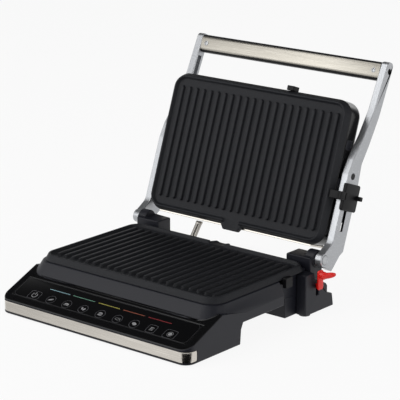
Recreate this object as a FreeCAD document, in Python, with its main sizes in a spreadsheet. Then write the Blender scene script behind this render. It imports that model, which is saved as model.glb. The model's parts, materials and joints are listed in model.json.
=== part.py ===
import FreeCAD, Part
import math
import os
import re
from dataclasses import dataclass

import Sketcher

# A contact grill: a base with a touch panel and a ribbed plate, and a floating lid on two arms.
# The base is drawn from its front edge (y) and the table (z). The arms and the lid are drawn shut, about
# the hinge axis, and are then placed at the angle at which the grill stands open.
# The part's origin is the middle of the base's footprint, on the table.

SIZES = {
    # whole base
    "base_width": 318.4,
    "base_depth": 298.0,
    "foot_height": 2.0,
    "foot_radius": 7.5,
    "front_foot_x": 112.0,
    "front_foot_y": 24.0,
    "rear_foot_x": 150.6,
    "rear_foot_y": 246.0,
    "cut_overrun": 2.0,
    "seat_gap": 0.3,
    # front box of the housing
    "face_top": 21.4,
    "panel_angle": 23.4,
    "slope_run": 67.0,
    "box_depth": 104.0,
    "box_lean": 1.5,
    "box_splay": 4.0,
    "arch_rise": 8.5,
    "casing_wall": 2.6,
    "slope_wall": 4.8,
    "front_corner": 14.0,
    "box_ceiling_run": 61.0,
    # tray that holds the lower plate
    "tray_front": 49.8,
    "tray_end": 191.0,
    "tray_underside": 29.5,
    "tray_shoulder": 43.0,
    "tray_top": 59.7,
    "tray_top_width": 303.0,
    "tray_top_front": 60.5,
    "tray_corner": 27.0,
    "tray_top_corner": 21.0,
    "core_width": 286.0,
    "core_end": 257.0,
    "well_width": 280.0,
    "well_front": 69.0,
    "well_corner": 14.0,
    "well_floor": 3.0,
    "post_radius": 4.0,
    "post_x": 100.0,
    "post_inset": 34.0,
    # bottom cover and its screws
    "cover_thick": 3.0,
    "cover_gap": 0.3,
    "boss_x": 138.0,
    "boss_front": 20.0,
    "boss_rear": 90.0,
    "boss_radius": 4.2,
    "screw_radius": 1.75,
    "screw_head_radius": 3.4,
    "screw_head_tall": 1.8,
    "screw_length": 12.0,
    "screw_gap": 0.1,
    # steel strip along the front
    "trim_low": 4.8,
    "trim_tall": 13.7,
    "trim_thick": 1.2,
    "trim_wrap": 18.0,
    "trim_gap": 0.05,
    # glass panel on the slope and the boards under it
    "panel_width": 295.0,
    "panel_start": 11.5,
    "panel_length": 36.5,
    "panel_thick": 1.8,
    "panel_gap": 0.15,
    "touch_board_width": 252.0,
    "touch_board_length": 29.0,
    "board_thick": 1.6,
    "power_board_left": -105.0,
    "power_board_width": 150.0,
    "power_board_front": 30.0,
    "power_board_depth": 56.0,
    "power_board_lift": 5.0,
    "relay_width": 19.0,
    "relay_depth": 15.0,
    "relay_tall": 11.0,
    "relay_inset": 8.0,
    # ribbed plates, the same above and below
    "plate_width": 290.0,
    "plate_depth": 184.4,
    "plate_rim": 68.1,
    "plate_corner": 17.0,
    "flange_width": 300.0,
    "flange_depth": 193.0,
    "flange_corner": 21.0,
    "flange_front": 63.2,
    "plate_wall": 8.4,
    "plate_rim_width": 1.6,
    "field_drop": 4.6,
    "plate_back_drop": 2.0,
    "plate_back_inset": 12.0,
    "rib_count": 22.0,
    "rib_pitch": 12.57,
    "rib_length": 157.0,
    "rib_width": 6.2,
    "rib_top_width": 3.4,
    "rib_height": 3.6,
    "lug_root": 35.4,
    "lug_tip": 24.5,
    "lug_length": 7.0,
    "lug_drop": 2.4,
    # heaters, reflectors and sensors under both plates
    "heater_radius": 3.3,
    "heater_gap": 0.2,
    "heater_reach": 112.0,
    "heater_spread": 92.0,
    "pan_width": 268.0,
    "pan_depth": 170.0,
    "pan_sheet": 0.8,
    "pan_lip": 6.0,
    "pan_corner": 12.0,
    "pan_level": 36.0,
    "upper_pan_level": 22.0,
    "sensor_radius": 4.0,
    # rear housing with the drip tray's bay
    "rear_front": 214.0,
    "rear_top": 53.0,
    "tower_gap": 0.4,
    "bay_top": 26.6,
    "drip_width": 168.0,
    "drip_depth": 66.0,
    "drip_tall": 19.0,
    "drip_wall": 2.0,
    "drip_gap": 0.5,
    "drip_pull_tall": 8.0,
    "drip_pull_width": 60.0,
    "drip_pull_depth": 9.0,
    "drain_width": 60.0,
    "drain_depth": 9.0,
    "gland_x": 97.6,
    "gland_z": 13.6,
    "gland_radius": 7.5,
    "gland_neck": 4.8,
    "gland_bore": 3.4,
    "gland_length": 7.0,
    "gland_depth": 12.0,
    # hinge towers
    "tower_inner": 111.0,
    "tower_rear": 284.0,
    "block_front": 257.5,
    "block_top": 74.0,
    "block_outer": 150.0,
    "leg_inner": 143.4,
    "leg_front": 236.5,
    "leg_top": 57.0,
    "plinth_top": 19.5,
    "plinth_slope": 3.5,
    "plinth_lean": 3.0,
    "barrel_radius": 11.5,
    "barrel_length": 12.0,
    "tower_wall": 3.0,
    "tower_cap": 16.0,
    "tower_hole": 2.0,
    "tower_hole_x": 134.0,
    "tower_screw_low": 32.0,
    "tower_screw_high": 46.0,
    "tower_screw_y": 271.0,
    # hinge
    "hinge_y": 272.3,
    "hinge_z": 70.4,
    "open_angle": 109.54,
    "hinge_pin_radius": 4.0,
    "hinge_pin_depth": 11.0,
    "hinge_bush_radius": 6.0,
    "running_gap": 0.05,
    # arms and handle
    "arm_gap": 304.4,
    "arm_thick": 10.7,
    "arm_reach": 270.0,
    "arm_rise": 60.0,
    "arm_nose": 9.2,
    "arm_bend": 14.0,
    "arm_tip": 6.0,
    "arm_channel": 7.2,
    "arm_boss": 8.5,
    "side_gap": 0.3,
    "face_height": 24.8,
    "face_plate_height": 18.6,
    "face_plate_thick": 2.6,
    "handle_front": 44.6,
    "core_thick": 8.6,
    "shell_thick": 10.4,
    "shell_round": 7.0,
    "handle_screw_x": 143.0,
    "handle_screw_radius": 1.5,
    "handle_screw_head": 2.9,
    "handle_screw_proud": 0.7,
    "handle_screw_length": 7.0,
    "end_screw_inset": 10.7,
    "end_screw_rise": 8.6,
    "end_screw_length": 14.0,
    "end_screw_sink": 3.2,
    # lid
    "lid_drop": 1.4,
    "lid_start": 15.9,
    "lid_width": 300.0,
    "lid_corner": 21.0,
    "lid_tall": 28.6,
    "lid_round": 12.0,
    "lid_wall": 2.6,
    "lid_cover_sheet": 1.0,
    "lid_cover_inset": 13.0,
    "hem_thick": 2.4,
    "hem_width": 262.0,
    "hem_gap": 0.2,
    "pivot_along": 113.9,
    "pivot_behind": 22.3,
    "pivot_pin_radius": 4.0,
    "pivot_boss": 9.0,
    "pivot_boss_depth": 8.0,
    # height slider on the right arm
    "slot_start": 41.0,
    "slot_end": 100.0,
    "slot_width": 6.2,
    "slider_start": 68.0,
    "slider_end": 104.0,
    "slider_front": 3.6,
    "slider_rear": 36.5,
    "slider_thick": 5.6,
    "slider_keep": 2.4,
    "slider_keep_width": 13.0,
    "slider_keep_end": 52.0,
    "slider_round": 3.0,
    "finger_start": 81.0,
    "finger_end": 92.0,
    "finger_low": -5.0,
    "finger_high": 6.0,
    "finger_inner": 150.6,
    "tab_start": 84.0,
    "tab_end": 90.0,
    "tab_front": 30.0,
    "tab_rear": 35.6,
    "tab_out": 7.4,
    # red release lever on the right tower
    "lever_y": 259.5,
    "lever_width": 10.5,
    "lever_low": 34.5,
    "lever_high": 60.5,
    "lever_thick": 3.0,
    "lever_round": 2.4,
    "lever_stem_tall": 7.0,
    "lever_stem_in": 5.0,
    "lever_travel": 9.0,
    "lever_gap": 0.3,
    "lever_slot_depth": 6.0,
    "nib_z": 54.5,
    "nib_radius": 5.2,
    "nib_collar": 6.0,
    "nib_length": 19.0,
    "nib_tip": 2.6,
    "nib_back": 5.0,
    "nib_lift": 3.0,
    # clips that release the plates
    "upper_clip_left": 42.5,
    "upper_clip_width": 11.5,
    "upper_clip_out": 6.4,
    "upper_clip_low": 1.4,
    "upper_clip_high": 15.0,
    "lower_clip_y": 205.0,
    "lower_clip_width": 14.0,
    "lower_clip_low": 49.0,
    "lower_clip_high": 63.0,
    "lower_clip_out": 6.0,
    "lower_clip_stem": 13.0,
    "clip_gap": 0.5,
    "clip_stem_tall": 3.0,
    "clip_stem_margin": 3.0,
    "clip_stem_length": 10.0,
    "clip_stem_lift": 9.6,
    "clip_round": 1.6,
    # wire conduit between the base and the lid
    "conduit_x": -62.0,
    "conduit_y": 272.5,
    "conduit_radius": 4.5,
    "conduit_behind": 14.0,
    "ferrule_radius": 6.6,
    "ferrule_tall": 3.0,
    "grommet_radius": 6.2,
}

# Outline of an arm: shares of its reach from the hinge to its end, and of its rise behind the hinge.
ARM_OUTLINE_SHARES = [
    (0.010, -0.130),
    (0.090, 0.157),
    (0.426, 0.177),
    (0.502, 0.245),
    (0.624, 0.465),
    (0.755, 0.632),
    (1.006, 0.770),
    (1.006, 1.000),
    (0.734, 0.875),
    (0.589, 0.732),
    (0.489, 0.605),
    (0.391, 0.640),
    (0.056, 0.628),
    (0.034, 0.528),
    (-0.048, 0.340),
    (-0.0335, 0.030),
]
# Points of that outline that are bent smoothly rather than left as corners.
ARM_BENDS = (1, 2, 3, 4, 5, 8, 9, 10, 11)
# Points of that outline at the arm's end, beside the handle, that are rounded off.
ARM_TIP = (6, 7)
# Outline of the hollow in an arm's inner side, in the same shares.
ARM_CHANNEL_SHARES = [
    (0.105, 0.210),
    (0.422, 0.228),
    (0.495, 0.295),
    (0.619, 0.518),
    (0.752, 0.688),
    (0.885, 0.755),
    (0.885, 0.880),
    (0.735, 0.820),
    (0.592, 0.680),
    (0.489, 0.553),
    (0.391, 0.585),
    (0.080, 0.575),
]
# Room that the turning heel of an arm needs in the top of a tower's leg: shares of the leg's depth from
# its front, and of its height.
HEEL_ROOM_SHARES = [(0.400, 1.000), (0.432, 0.862), (0.944, 0.640), (1.000, 0.580)]
# Where the feet of a relay or coil stand on the power board: shares of the board's width and depth.
RELAY_PLACE_SHARES = [(0.08, 0.15), (0.08, 0.60), (0.40, 0.15), (0.70, 0.50)]

doc = FreeCAD.newDocument("contact_grill")
sheet = doc.addObject("Spreadsheet::Sheet", "Sizes")
for row, (alias, size) in enumerate(SIZES.items(), 1):
    sheet.set(f"A{row}", alias)
    sheet.set(f"B{row}", str(size))
    sheet.setAlias(f"B{row}", alias)
doc.recompute()

AXIS_PLANES = {"x": "YZ_Plane", "y": "XZ_Plane", "z": "XY_Plane"}
NODES = []


@dataclass
class Ring:
    """A circle in an outline: its middle and its radius, as formulas."""

    across: str
    up: str
    radius: str


def bind(formula):
    """Writes a formula of size names as an expression on the sheet."""
    return re.sub(r"\b([a-z][a-z_]*)\b(?!\()", r"Sizes.\1", str(formula))


def value(formula):
    """What a formula of size names comes to."""
    return float(sheet.evalExpression(bind(formula)))


def node(thing, label):
    """Names a finished sub-part, whose file takes that name."""
    thing.Label = label
    NODES.append(thing)
    return thing


def settle():
    """Brings the document up to date, so that a feature can read its base."""
    doc.recompute()


def new_body(label):
    """An empty body that becomes the node of that name."""
    return node(doc.addObject("PartDesign::Body", "body_" + label), label)


def on_base(thing):
    """Places a piece that was drawn from the base's front edge."""
    thing.setExpression("Placement.Base.y", bind("-base_depth / 2"))
    return thing


def opened(y, z):
    """Where a point drawn shut about the hinge stands on the open grill, from the base's front edge."""
    across = f"hinge_y + ({y}) * cos(open_angle) + ({z}) * sin(open_angle)"
    up = f"hinge_z - ({y}) * sin(open_angle) + ({z}) * cos(open_angle)"
    return across, up


def on_arms(thing, y="0", z="0", turned_over=False):
    """Places a piece that was drawn shut about the hinge, at the angle at which the grill stands open."""
    turn = FreeCAD.Rotation(FreeCAD.Vector(1, 0, 0), -value("open_angle"))
    if turned_over:
        turn = turn.multiply(FreeCAD.Rotation(FreeCAD.Vector(0, 1, 0), 180))
    thing.Placement = FreeCAD.Placement(FreeCAD.Vector(0, 0, 0), turn)
    across, up = opened(y, z)
    thing.setExpression("Placement.Base.y", bind(f"{across} - base_depth / 2"))
    thing.setExpression("Placement.Base.z", bind(up))
    return thing


def pin_point(sketch, line, end, across, up):
    """Ties one end of a line or the middle of a circle to two formulas."""
    for kind, formula in (("DistanceX", across), ("DistanceY", up)):
        tie = sketch.addConstraint(Sketcher.Constraint(kind, -1, 1, line, end, value(formula)))
        sketch.setExpression(f"Constraints[{tie}]", bind(formula))


def draw_ring(sketch, ring):
    """Draws a circle and ties it to its formulas."""
    middle = FreeCAD.Vector(value(ring.across), value(ring.up), 0)
    circle = Part.Circle(middle, FreeCAD.Vector(0, 0, 1), value(ring.radius))
    line = sketch.addGeometry(circle, False)
    pin_point(sketch, line, 3, ring.across, ring.up)
    tie = sketch.addConstraint(Sketcher.Constraint("Radius", line, value(ring.radius)))
    sketch.setExpression(f"Constraints[{tie}]", bind(ring.radius))


def arc_through(start, end, radius):
    """The shorter arc from start round to end, turning left."""
    chord = end - start
    half = chord.Length / 2
    left = FreeCAD.Vector(-chord.y, chord.x, 0).normalize()
    middle = start + chord / 2 + left * math.sqrt(max(radius * radius - half * half, 0))
    circle = Part.Circle(middle, FreeCAD.Vector(0, 0, 1), radius)
    return Part.ArcOfCircle(circle, circle.parameter(start), circle.parameter(end))


def draw_loop(sketch, corners, closed=True):
    """Draws straight sides and arcs through the corners, and ties each corner to its formulas.

    A corner is (across, up), or (across, up, radius) where the side that arrives there is an arc that turns
    left, or (across, up, radius, "right") where it turns right.
    """
    spots = [FreeCAD.Vector(value(c[0]), value(c[1]), 0) for c in corners]
    count = len(corners) if closed else len(corners) - 1
    sides = []
    for i in range(count):
        j = (i + 1) % len(corners)
        bend = corners[j][2:]
        ends = (2, 1) if "right" in bend else (1, 2)
        if "right" in bend:
            side = arc_through(spots[j], spots[i], value(bend[0]))
        elif bend:
            side = arc_through(spots[i], spots[j], value(bend[0]))
        else:
            side = Part.LineSegment(spots[i], spots[j])
        sides.append((sketch.addGeometry(side, False), *ends, bend))
    for i, (line, tail, head, bend) in enumerate(sides):
        if closed or i + 1 < count:
            onward = sides[(i + 1) % count]
            sketch.addConstraint(Sketcher.Constraint("Coincident", line, head, onward[0], onward[1]))
        else:
            pin_point(sketch, line, head, *corners[-1][:2])
        pin_point(sketch, line, tail, *corners[i][:2])
        if bend:
            tie = sketch.addConstraint(Sketcher.Constraint("Radius", line, value(bend[0])))
            sketch.setExpression(f"Constraints[{tie}]", bind(bend[0]))


def sketch_on(body, axis, height, loops, closed=True):
    """A sketch square to an axis, at a height along it."""
    sketch = body.newObject("Sketcher::SketchObject", body.Name + "_outline")
    role = AXIS_PLANES[axis]
    plane = next(f for f in body.Origin.OriginFeatures if f.Role == role)
    sketch.AttachmentSupport = [(plane, "")]
    sketch.MapMode = "FlatFace"
    sketch.setExpression("AttachmentOffset.Base.z", bind(f"-({height})" if axis == "y" else height))
    for loop in loops:
        if isinstance(loop, Ring):
            draw_ring(sketch, loop)
        else:
            draw_loop(sketch, loop, closed)
    return sketch


def slab(body, axis, low, high, *loops):
    """Adds an outline, drawn out from low to high along an axis."""
    sketch = sketch_on(body, axis, low, loops)
    pad = body.newObject("PartDesign::Pad", body.Name + "_pad")
    pad.Profile = sketch
    pad.setExpression("Length", bind(f"({high}) - ({low})"))
    pad.Reversed = axis == "y"
    settle()
    return pad


def cut(body, axis, low, high, *loops):
    """Takes an outline away from low to high along an axis, and checks that it met the piece."""
    before = body.Shape.Volume
    sketch = sketch_on(body, axis, low, loops)
    pocket = body.newObject("PartDesign::Pocket", body.Name + "_pocket")
    pocket.Profile = sketch
    pocket.setExpression("Length", bind(f"({high}) - ({low})"))
    pocket.Reversed = axis != "y"
    settle()
    if body.Shape.Volume >= before:
        raise RuntimeError(f"a cut along {axis} missed {body.Label}")
    return pocket


def loft(body, axis, low, low_loop, high, high_loop):
    """Adds a solid between two outlines of as many sides."""
    first = sketch_on(body, axis, low, [low_loop])
    last = sketch_on(body, axis, high, [high_loop])
    feature = body.newObject("PartDesign::AdditiveLoft", body.Name + "_loft")
    feature.Profile = first
    feature.Sections = [last]
    feature.Ruled = True
    settle()
    return feature


def edges_where(body, test):
    """The names of a body's edges that pass a test."""
    return [f"Edge{i}" for i, edge in enumerate(body.Tip.Shape.Edges, 1) if test(edge)]


def runs_along(edge, axis):
    """Whether an edge is straight along an axis."""
    ends = [v.Point for v in edge.Vertexes]
    if len(ends) < 2:
        return False
    way = ends[1] - ends[0]
    length = {"x": abs(way.x), "y": abs(way.y), "z": abs(way.z)}[axis]
    return length > 0 and math.isclose(length, way.Length, rel_tol=1e-6)


def round_edges(body, radius, test, kind="PartDesign::Fillet"):
    """Rounds, or bevels, the edges that pass a test."""
    names = edges_where(body, test)
    if not names:
        raise RuntimeError(f"no edge of {body.Label} to round")
    base = body.Tip
    feature = body.newObject(kind, body.Name + "_edges")
    feature.Base = (base, names)
    feature.setExpression("Radius" if kind.endswith("Fillet") else "Size", bind(radius))
    settle()
    return feature


def box(left, right, near, far):
    """The four corners of an upright rectangle."""
    return [(left, near), (right, near), (right, far), (left, far)]


def rounded_box(left, right, near, far, radius):
    """A rectangle with all four corners round."""
    return [
        (f"{left} + {radius}", near, radius),
        (f"{right} - {radius}", near),
        (right, f"{near} + {radius}", radius),
        (right, f"{far} - {radius}"),
        (f"{right} - {radius}", far, radius),
        (f"{left} + {radius}", far),
        (left, f"{far} - {radius}", radius),
        (left, f"{near} + {radius}"),
    ]


def bullnose(half_width, near, far, radius):
    """A rectangle about the middle whose two near corners are round."""
    return [
        (f"-{half_width} + {radius}", near, radius),
        (f"{half_width} - {radius}", near),
        (half_width, f"{near} + {radius}", radius),
        (half_width, far),
        (f"-{half_width}", far),
        (f"-{half_width}", f"{near} + {radius}"),
    ]


def rod(axis, across, up, low, high, radius, name="rod"):
    """A plain round bar along an axis."""
    bar = doc.addObject("Part::Cylinder", name)
    bar.setExpression("Radius", bind(radius))
    bar.setExpression("Height", bind(f"({high}) - ({low})"))
    turns = {
        "x": FreeCAD.Rotation(FreeCAD.Vector(0, 1, 0), 90),
        "y": FreeCAD.Rotation(FreeCAD.Vector(1, 0, 0), -90),
        "z": FreeCAD.Rotation(),
    }
    bar.Placement = FreeCAD.Placement(FreeCAD.Vector(0, 0, 0), turns[axis])
    spots = {"x": (low, across, up), "y": (across, low, up), "z": (across, up, low)}[axis]
    for letter, formula in zip("xyz", spots):
        bar.setExpression(f"Placement.Base.{letter}", bind(formula))
    return bar


def block(left, right, near, far, low, high, name="block"):
    """A plain box between six planes."""
    piece = doc.addObject("Part::Box", name)
    for prop, low_end, high_end, letter in (
        ("Length", left, right, "x"),
        ("Width", near, far, "y"),
        ("Height", low, high, "z"),
    ):
        piece.setExpression(prop, bind(f"({high_end}) - ({low_end})"))
        piece.setExpression(f"Placement.Base.{letter}", bind(low_end))
    return piece


def fuse(pieces, name="joined"):
    """Several solids as one."""
    whole = doc.addObject("Part::MultiFuse", name)
    whole.Shapes = pieces
    settle()
    return whole


def group(label, pieces):
    """Like pieces that share one node."""
    whole = doc.addObject("Part::Compound", "group_" + label)
    whole.Links = pieces
    settle()
    return node(whole, label)


SLOPE_RISE = "tan(panel_angle)"
SHOULDER = f"face_top + slope_run * {SLOPE_RISE}"
HALF_BASE = "base_width / 2"
WELL_LEVEL = "tray_underside + well_floor"
WELL_REAR = "core_end - casing_wall"
PLATE_MIDDLE = "flange_front + flange_depth / 2"
PLATE_BACK = "plate_wall + plate_back_drop"
TRIM_TOP = "trim_low + trim_tall"


def on_slope(along, above):
    """A point of the side view by its run up the slope and its height square to it."""
    across = f"({along}) * cos(panel_angle) - ({above}) * sin(panel_angle)"
    up = f"face_top + ({along}) * sin(panel_angle) + ({above}) * cos(panel_angle)"
    return across, up


def slope_box(start, length, low, high):
    """A rectangle of the side view that lies on the slope."""
    ends = (start, f"{start} + {length}")
    return [
        on_slope(ends[0], low),
        on_slope(ends[1], low),
        on_slope(ends[1], high),
        on_slope(ends[0], high),
    ]


def base_housing():
    """The casing: front box, slope, tray skirt, side cheeks and the narrower core behind them."""
    body = on_base(new_body("base_housing"))
    slab(
        body,
        "x",
        f"-{HALF_BASE}",
        HALF_BASE,
        [
            (0, "foot_height"),
            ("box_depth - box_lean", "foot_height"),
            ("box_depth", "tray_underside - arch_rise"),
            ("box_depth + box_splay", "tray_underside"),
            ("box_depth + box_splay", "tray_shoulder"),
            ("slope_run", SHOULDER),
            (0, "face_top"),
        ],
    )
    outline = bullnose(HALF_BASE, "tray_front", "tray_end", "tray_corner")
    slab(body, "z", "tray_underside", "tray_shoulder", outline)
    top = bullnose("(tray_top_width / 2)", "tray_top_front", "tray_end", "tray_top_corner")
    loft(body, "z", "tray_shoulder", outline, "tray_top", top)
    slab(
        body,
        "z",
        "tray_underside",
        "tray_top",
        box("-core_width / 2", "core_width / 2", "tray_end - casing_wall", "core_end"),
    )
    hollow_housing(body)
    dress_housing(body)
    return body


def upright_at(edge, spot):
    """Whether an upright edge stands on a spot of the plan, or on its mirror image."""
    middle = edge.CenterOfMass
    return math.hypot(abs(middle.x) - spot.x, middle.y - spot.y) < value("running_gap")


def hollow_housing(body):
    """Opens the front box from below, the plate's well from above and the cheeks from below."""
    inner = f"({HALF_BASE} - casing_wall)"
    ceiling = f"face_top + box_ceiling_run * {SLOPE_RISE} - slope_wall"
    cut(
        body,
        "x",
        f"-{inner}",
        inner,
        [
            ("casing_wall", "foot_height - cut_overrun"),
            ("box_depth - box_lean - casing_wall", "foot_height - cut_overrun"),
            ("box_depth - casing_wall", "tray_underside - arch_rise"),
            ("box_depth - casing_wall", "tray_underside"),
            ("box_ceiling_run", "tray_underside"),
            ("box_ceiling_run", ceiling),
            ("casing_wall", f"face_top + casing_wall * {SLOPE_RISE} - slope_wall"),
        ],
    )
    for wall, radius in (("casing_wall", "front_corner - casing_wall"), (0, "front_corner")):
        spot = FreeCAD.Vector(value(f"{HALF_BASE} - {wall}"), value(wall), 0)
        round_edges(body, radius, lambda e: runs_along(e, "z") and upright_at(e, spot))
    well = rounded_box("-well_width / 2", "well_width / 2", "well_front", WELL_REAR, "well_corner")
    cut(body, "z", WELL_LEVEL, "tray_top + cut_overrun", well)
    for side in (-1, 1):
        ends = (f"{side} * (well_width / 2 + casing_wall)", f"{side} * {inner}")
        cheek = box(
            *(ends if side > 0 else ends[::-1]),
            "box_depth + box_splay + casing_wall",
            "tray_end - casing_wall",
        )
        cut(body, "z", "tray_underside - cut_overrun", "tray_shoulder - casing_wall", cheek)


def dress_housing(body):
    """Seats for the strip and the glass, the screw bosses, and posts for the reflector pan."""
    outer = f"({HALF_BASE} + cut_overrun)"
    inner = f"({HALF_BASE} - trim_thick - trim_gap)"
    bend = f"{HALF_BASE} - front_corner"
    turn = "front_corner - trim_thick - trim_gap"
    recess = [
        (f"-{outer}", "trim_wrap + trim_gap"),
        (f"-{outer}", "-cut_overrun"),
        (outer, "-cut_overrun"),
        (outer, "trim_wrap + trim_gap"),
        (inner, "trim_wrap + trim_gap"),
        (inner, "front_corner"),
        (bend, "trim_thick + trim_gap", turn, "right"),
        (f"-({bend})", "trim_thick + trim_gap"),
        (f"-{inner}", "front_corner", turn, "right"),
        (f"-{inner}", "trim_wrap + trim_gap"),
    ]
    cut(body, "z", "trim_low - trim_gap", f"{TRIM_TOP} + trim_gap", recess)
    half_glass = "(panel_width / 2 + panel_gap)"
    floor = "-panel_thick - trim_gap"
    seat = slope_box("panel_start - panel_gap", "panel_length + 2 * panel_gap", floor, "cut_overrun")
    cut(body, "x", f"-{half_glass}", half_glass, seat)
    for y, roof in (
        ("boss_front", f"face_top + (boss_front - boss_radius) * {SLOPE_RISE} - slope_wall / 2"),
        ("boss_rear", "tray_underside + well_floor / 2"),
    ):
        spots = [Ring(f"{side} * boss_x", y, "boss_radius") for side in (-1, 1)]
        slab(body, "z", "foot_height + cover_thick + cover_gap", roof, *spots)
        holes = [Ring(f"{side} * boss_x", y, "screw_radius + screw_gap") for side in (-1, 1)]
        low = "foot_height + cover_thick"
        cut(body, "z", low, "foot_height + screw_head_tall + screw_length + screw_gap", *holes)
    posts = [
        Ring(f"{side} * post_x", y, "post_radius")
        for side in (-1, 1)
        for y in (f"{PLATE_MIDDLE} {way} (pan_depth / 2 - post_inset)" for way in "-+")
    ]
    slab(body, "z", f"{WELL_LEVEL} - well_floor / 2", "pan_level", *posts)
    stem = box(
        "lower_clip_y - lower_clip_width / 2 + clip_stem_margin - clip_gap",
        "lower_clip_y + lower_clip_width / 2 - clip_stem_margin + clip_gap",
        "lower_clip_low + clip_stem_margin - clip_gap",
        "lower_clip_low + clip_stem_margin + clip_stem_tall + clip_gap",
    )
    cut(body, "x", "well_width / 2 - casing_wall", "core_width / 2 + cut_overrun", stem)


def bottom_cover():
    """The plate that closes the front box from below."""
    body = on_base(new_body("base_bottom_cover"))
    inset = "(casing_wall + cover_gap)"
    outline = bullnose(
        f"({HALF_BASE} - {inset})", inset, f"box_depth - box_lean - {inset}", f"(front_corner - {inset})"
    )
    slab(body, "z", "foot_height", "foot_height + cover_thick", outline)
    spots = [(f"{side} * boss_x", y) for side in (-1, 1) for y in ("boss_front", "boss_rear")]
    heads = [Ring(*spot, "screw_head_radius + screw_gap") for spot in spots]
    cut(body, "z", "foot_height - cut_overrun", "foot_height + screw_head_tall", *heads)
    holes = [Ring(*spot, "screw_radius + screw_gap") for spot in spots]
    cut(body, "z", "foot_height", "foot_height + cover_thick + cut_overrun", *holes)


def cover_screws():
    """Four screws that hold the bottom cover."""
    screws = []
    for side in (-1, 1):
        for y in ("boss_front", "boss_rear"):
            x = f"{side} * boss_x"
            top = "foot_height + screw_head_tall"
            head = rod("z", x, y, "foot_height", top, "screw_head_radius")
            shank = rod("z", x, y, top, f"{top} + screw_length", "screw_radius")
            screws.append(fuse([head, shank], "cover_screw"))
    on_base(group("base_cover_screws", screws))


def rubber_feet():
    """Four soft feet: two under the front box and one under each tower."""
    feet = []
    for x, y in (("front_foot_x", "front_foot_y"), ("rear_foot_x", "rear_foot_y")):
        for side in (-1, 1):
            feet.append(rod("z", f"{side} * {x}", y, 0, "foot_height", "foot_radius", "foot"))
    on_base(group("rubber_feet", feet))


def front_trim():
    """The steel strip along the front and round its corners."""
    body = on_base(new_body("front_trim_strip"))
    slab(body, "z", "trim_low", TRIM_TOP, bullnose(HALF_BASE, 0, "trim_wrap", "front_corner"))
    bend = "(front_corner - trim_thick)"
    inside = bullnose(f"({HALF_BASE} - trim_thick)", "trim_thick", "trim_wrap + cut_overrun", bend)
    cut(body, "z", "trim_low - cut_overrun", f"{TRIM_TOP} + cut_overrun", inside)


def control_panel():
    """The glass on the slope, the touch board under the casing's slope and the power board below."""
    glass = on_base(new_body("control_panel_glass"))
    slab(
        glass,
        "x",
        "-panel_width / 2",
        "panel_width / 2",
        slope_box("panel_start", "panel_length", "-panel_thick", 0),
    )
    touch = on_base(new_body("touch_board"))
    slab(
        touch,
        "x",
        "-touch_board_width / 2",
        "touch_board_width / 2",
        slope_box(
            "panel_start + (panel_length - touch_board_length) / 2",
            "touch_board_length",
            "-slope_wall * cos(panel_angle) - seat_gap - board_thick",
            "-slope_wall * cos(panel_angle) - seat_gap",
        ),
    )
    low = "foot_height + cover_thick + power_board_lift"
    middle = f"{low} + board_thick / 2"
    right = "power_board_left + power_board_width"
    rear = "power_board_front + power_board_depth"
    pieces = [block("power_board_left", right, "power_board_front", rear, low, f"{low} + board_thick")]
    for x_share, y_share in RELAY_PLACE_SHARES:
        x = f"power_board_left + power_board_width * {x_share}"
        y = f"power_board_front + power_board_depth * {y_share}"
        top = f"{low} + board_thick + relay_tall"
        pieces.append(block(x, f"{x} + relay_width", y, f"{y} + relay_depth", middle, top))
    for x in ("power_board_left + relay_inset", f"{right} - relay_inset"):
        for y in ("power_board_front + relay_inset", f"{rear} - relay_inset"):
            pieces.append(rod("z", x, y, "foot_height + cover_thick", middle, "boss_radius"))
    on_base(node(fuse(pieces, "power_board_whole"), "power_board"))


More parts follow.
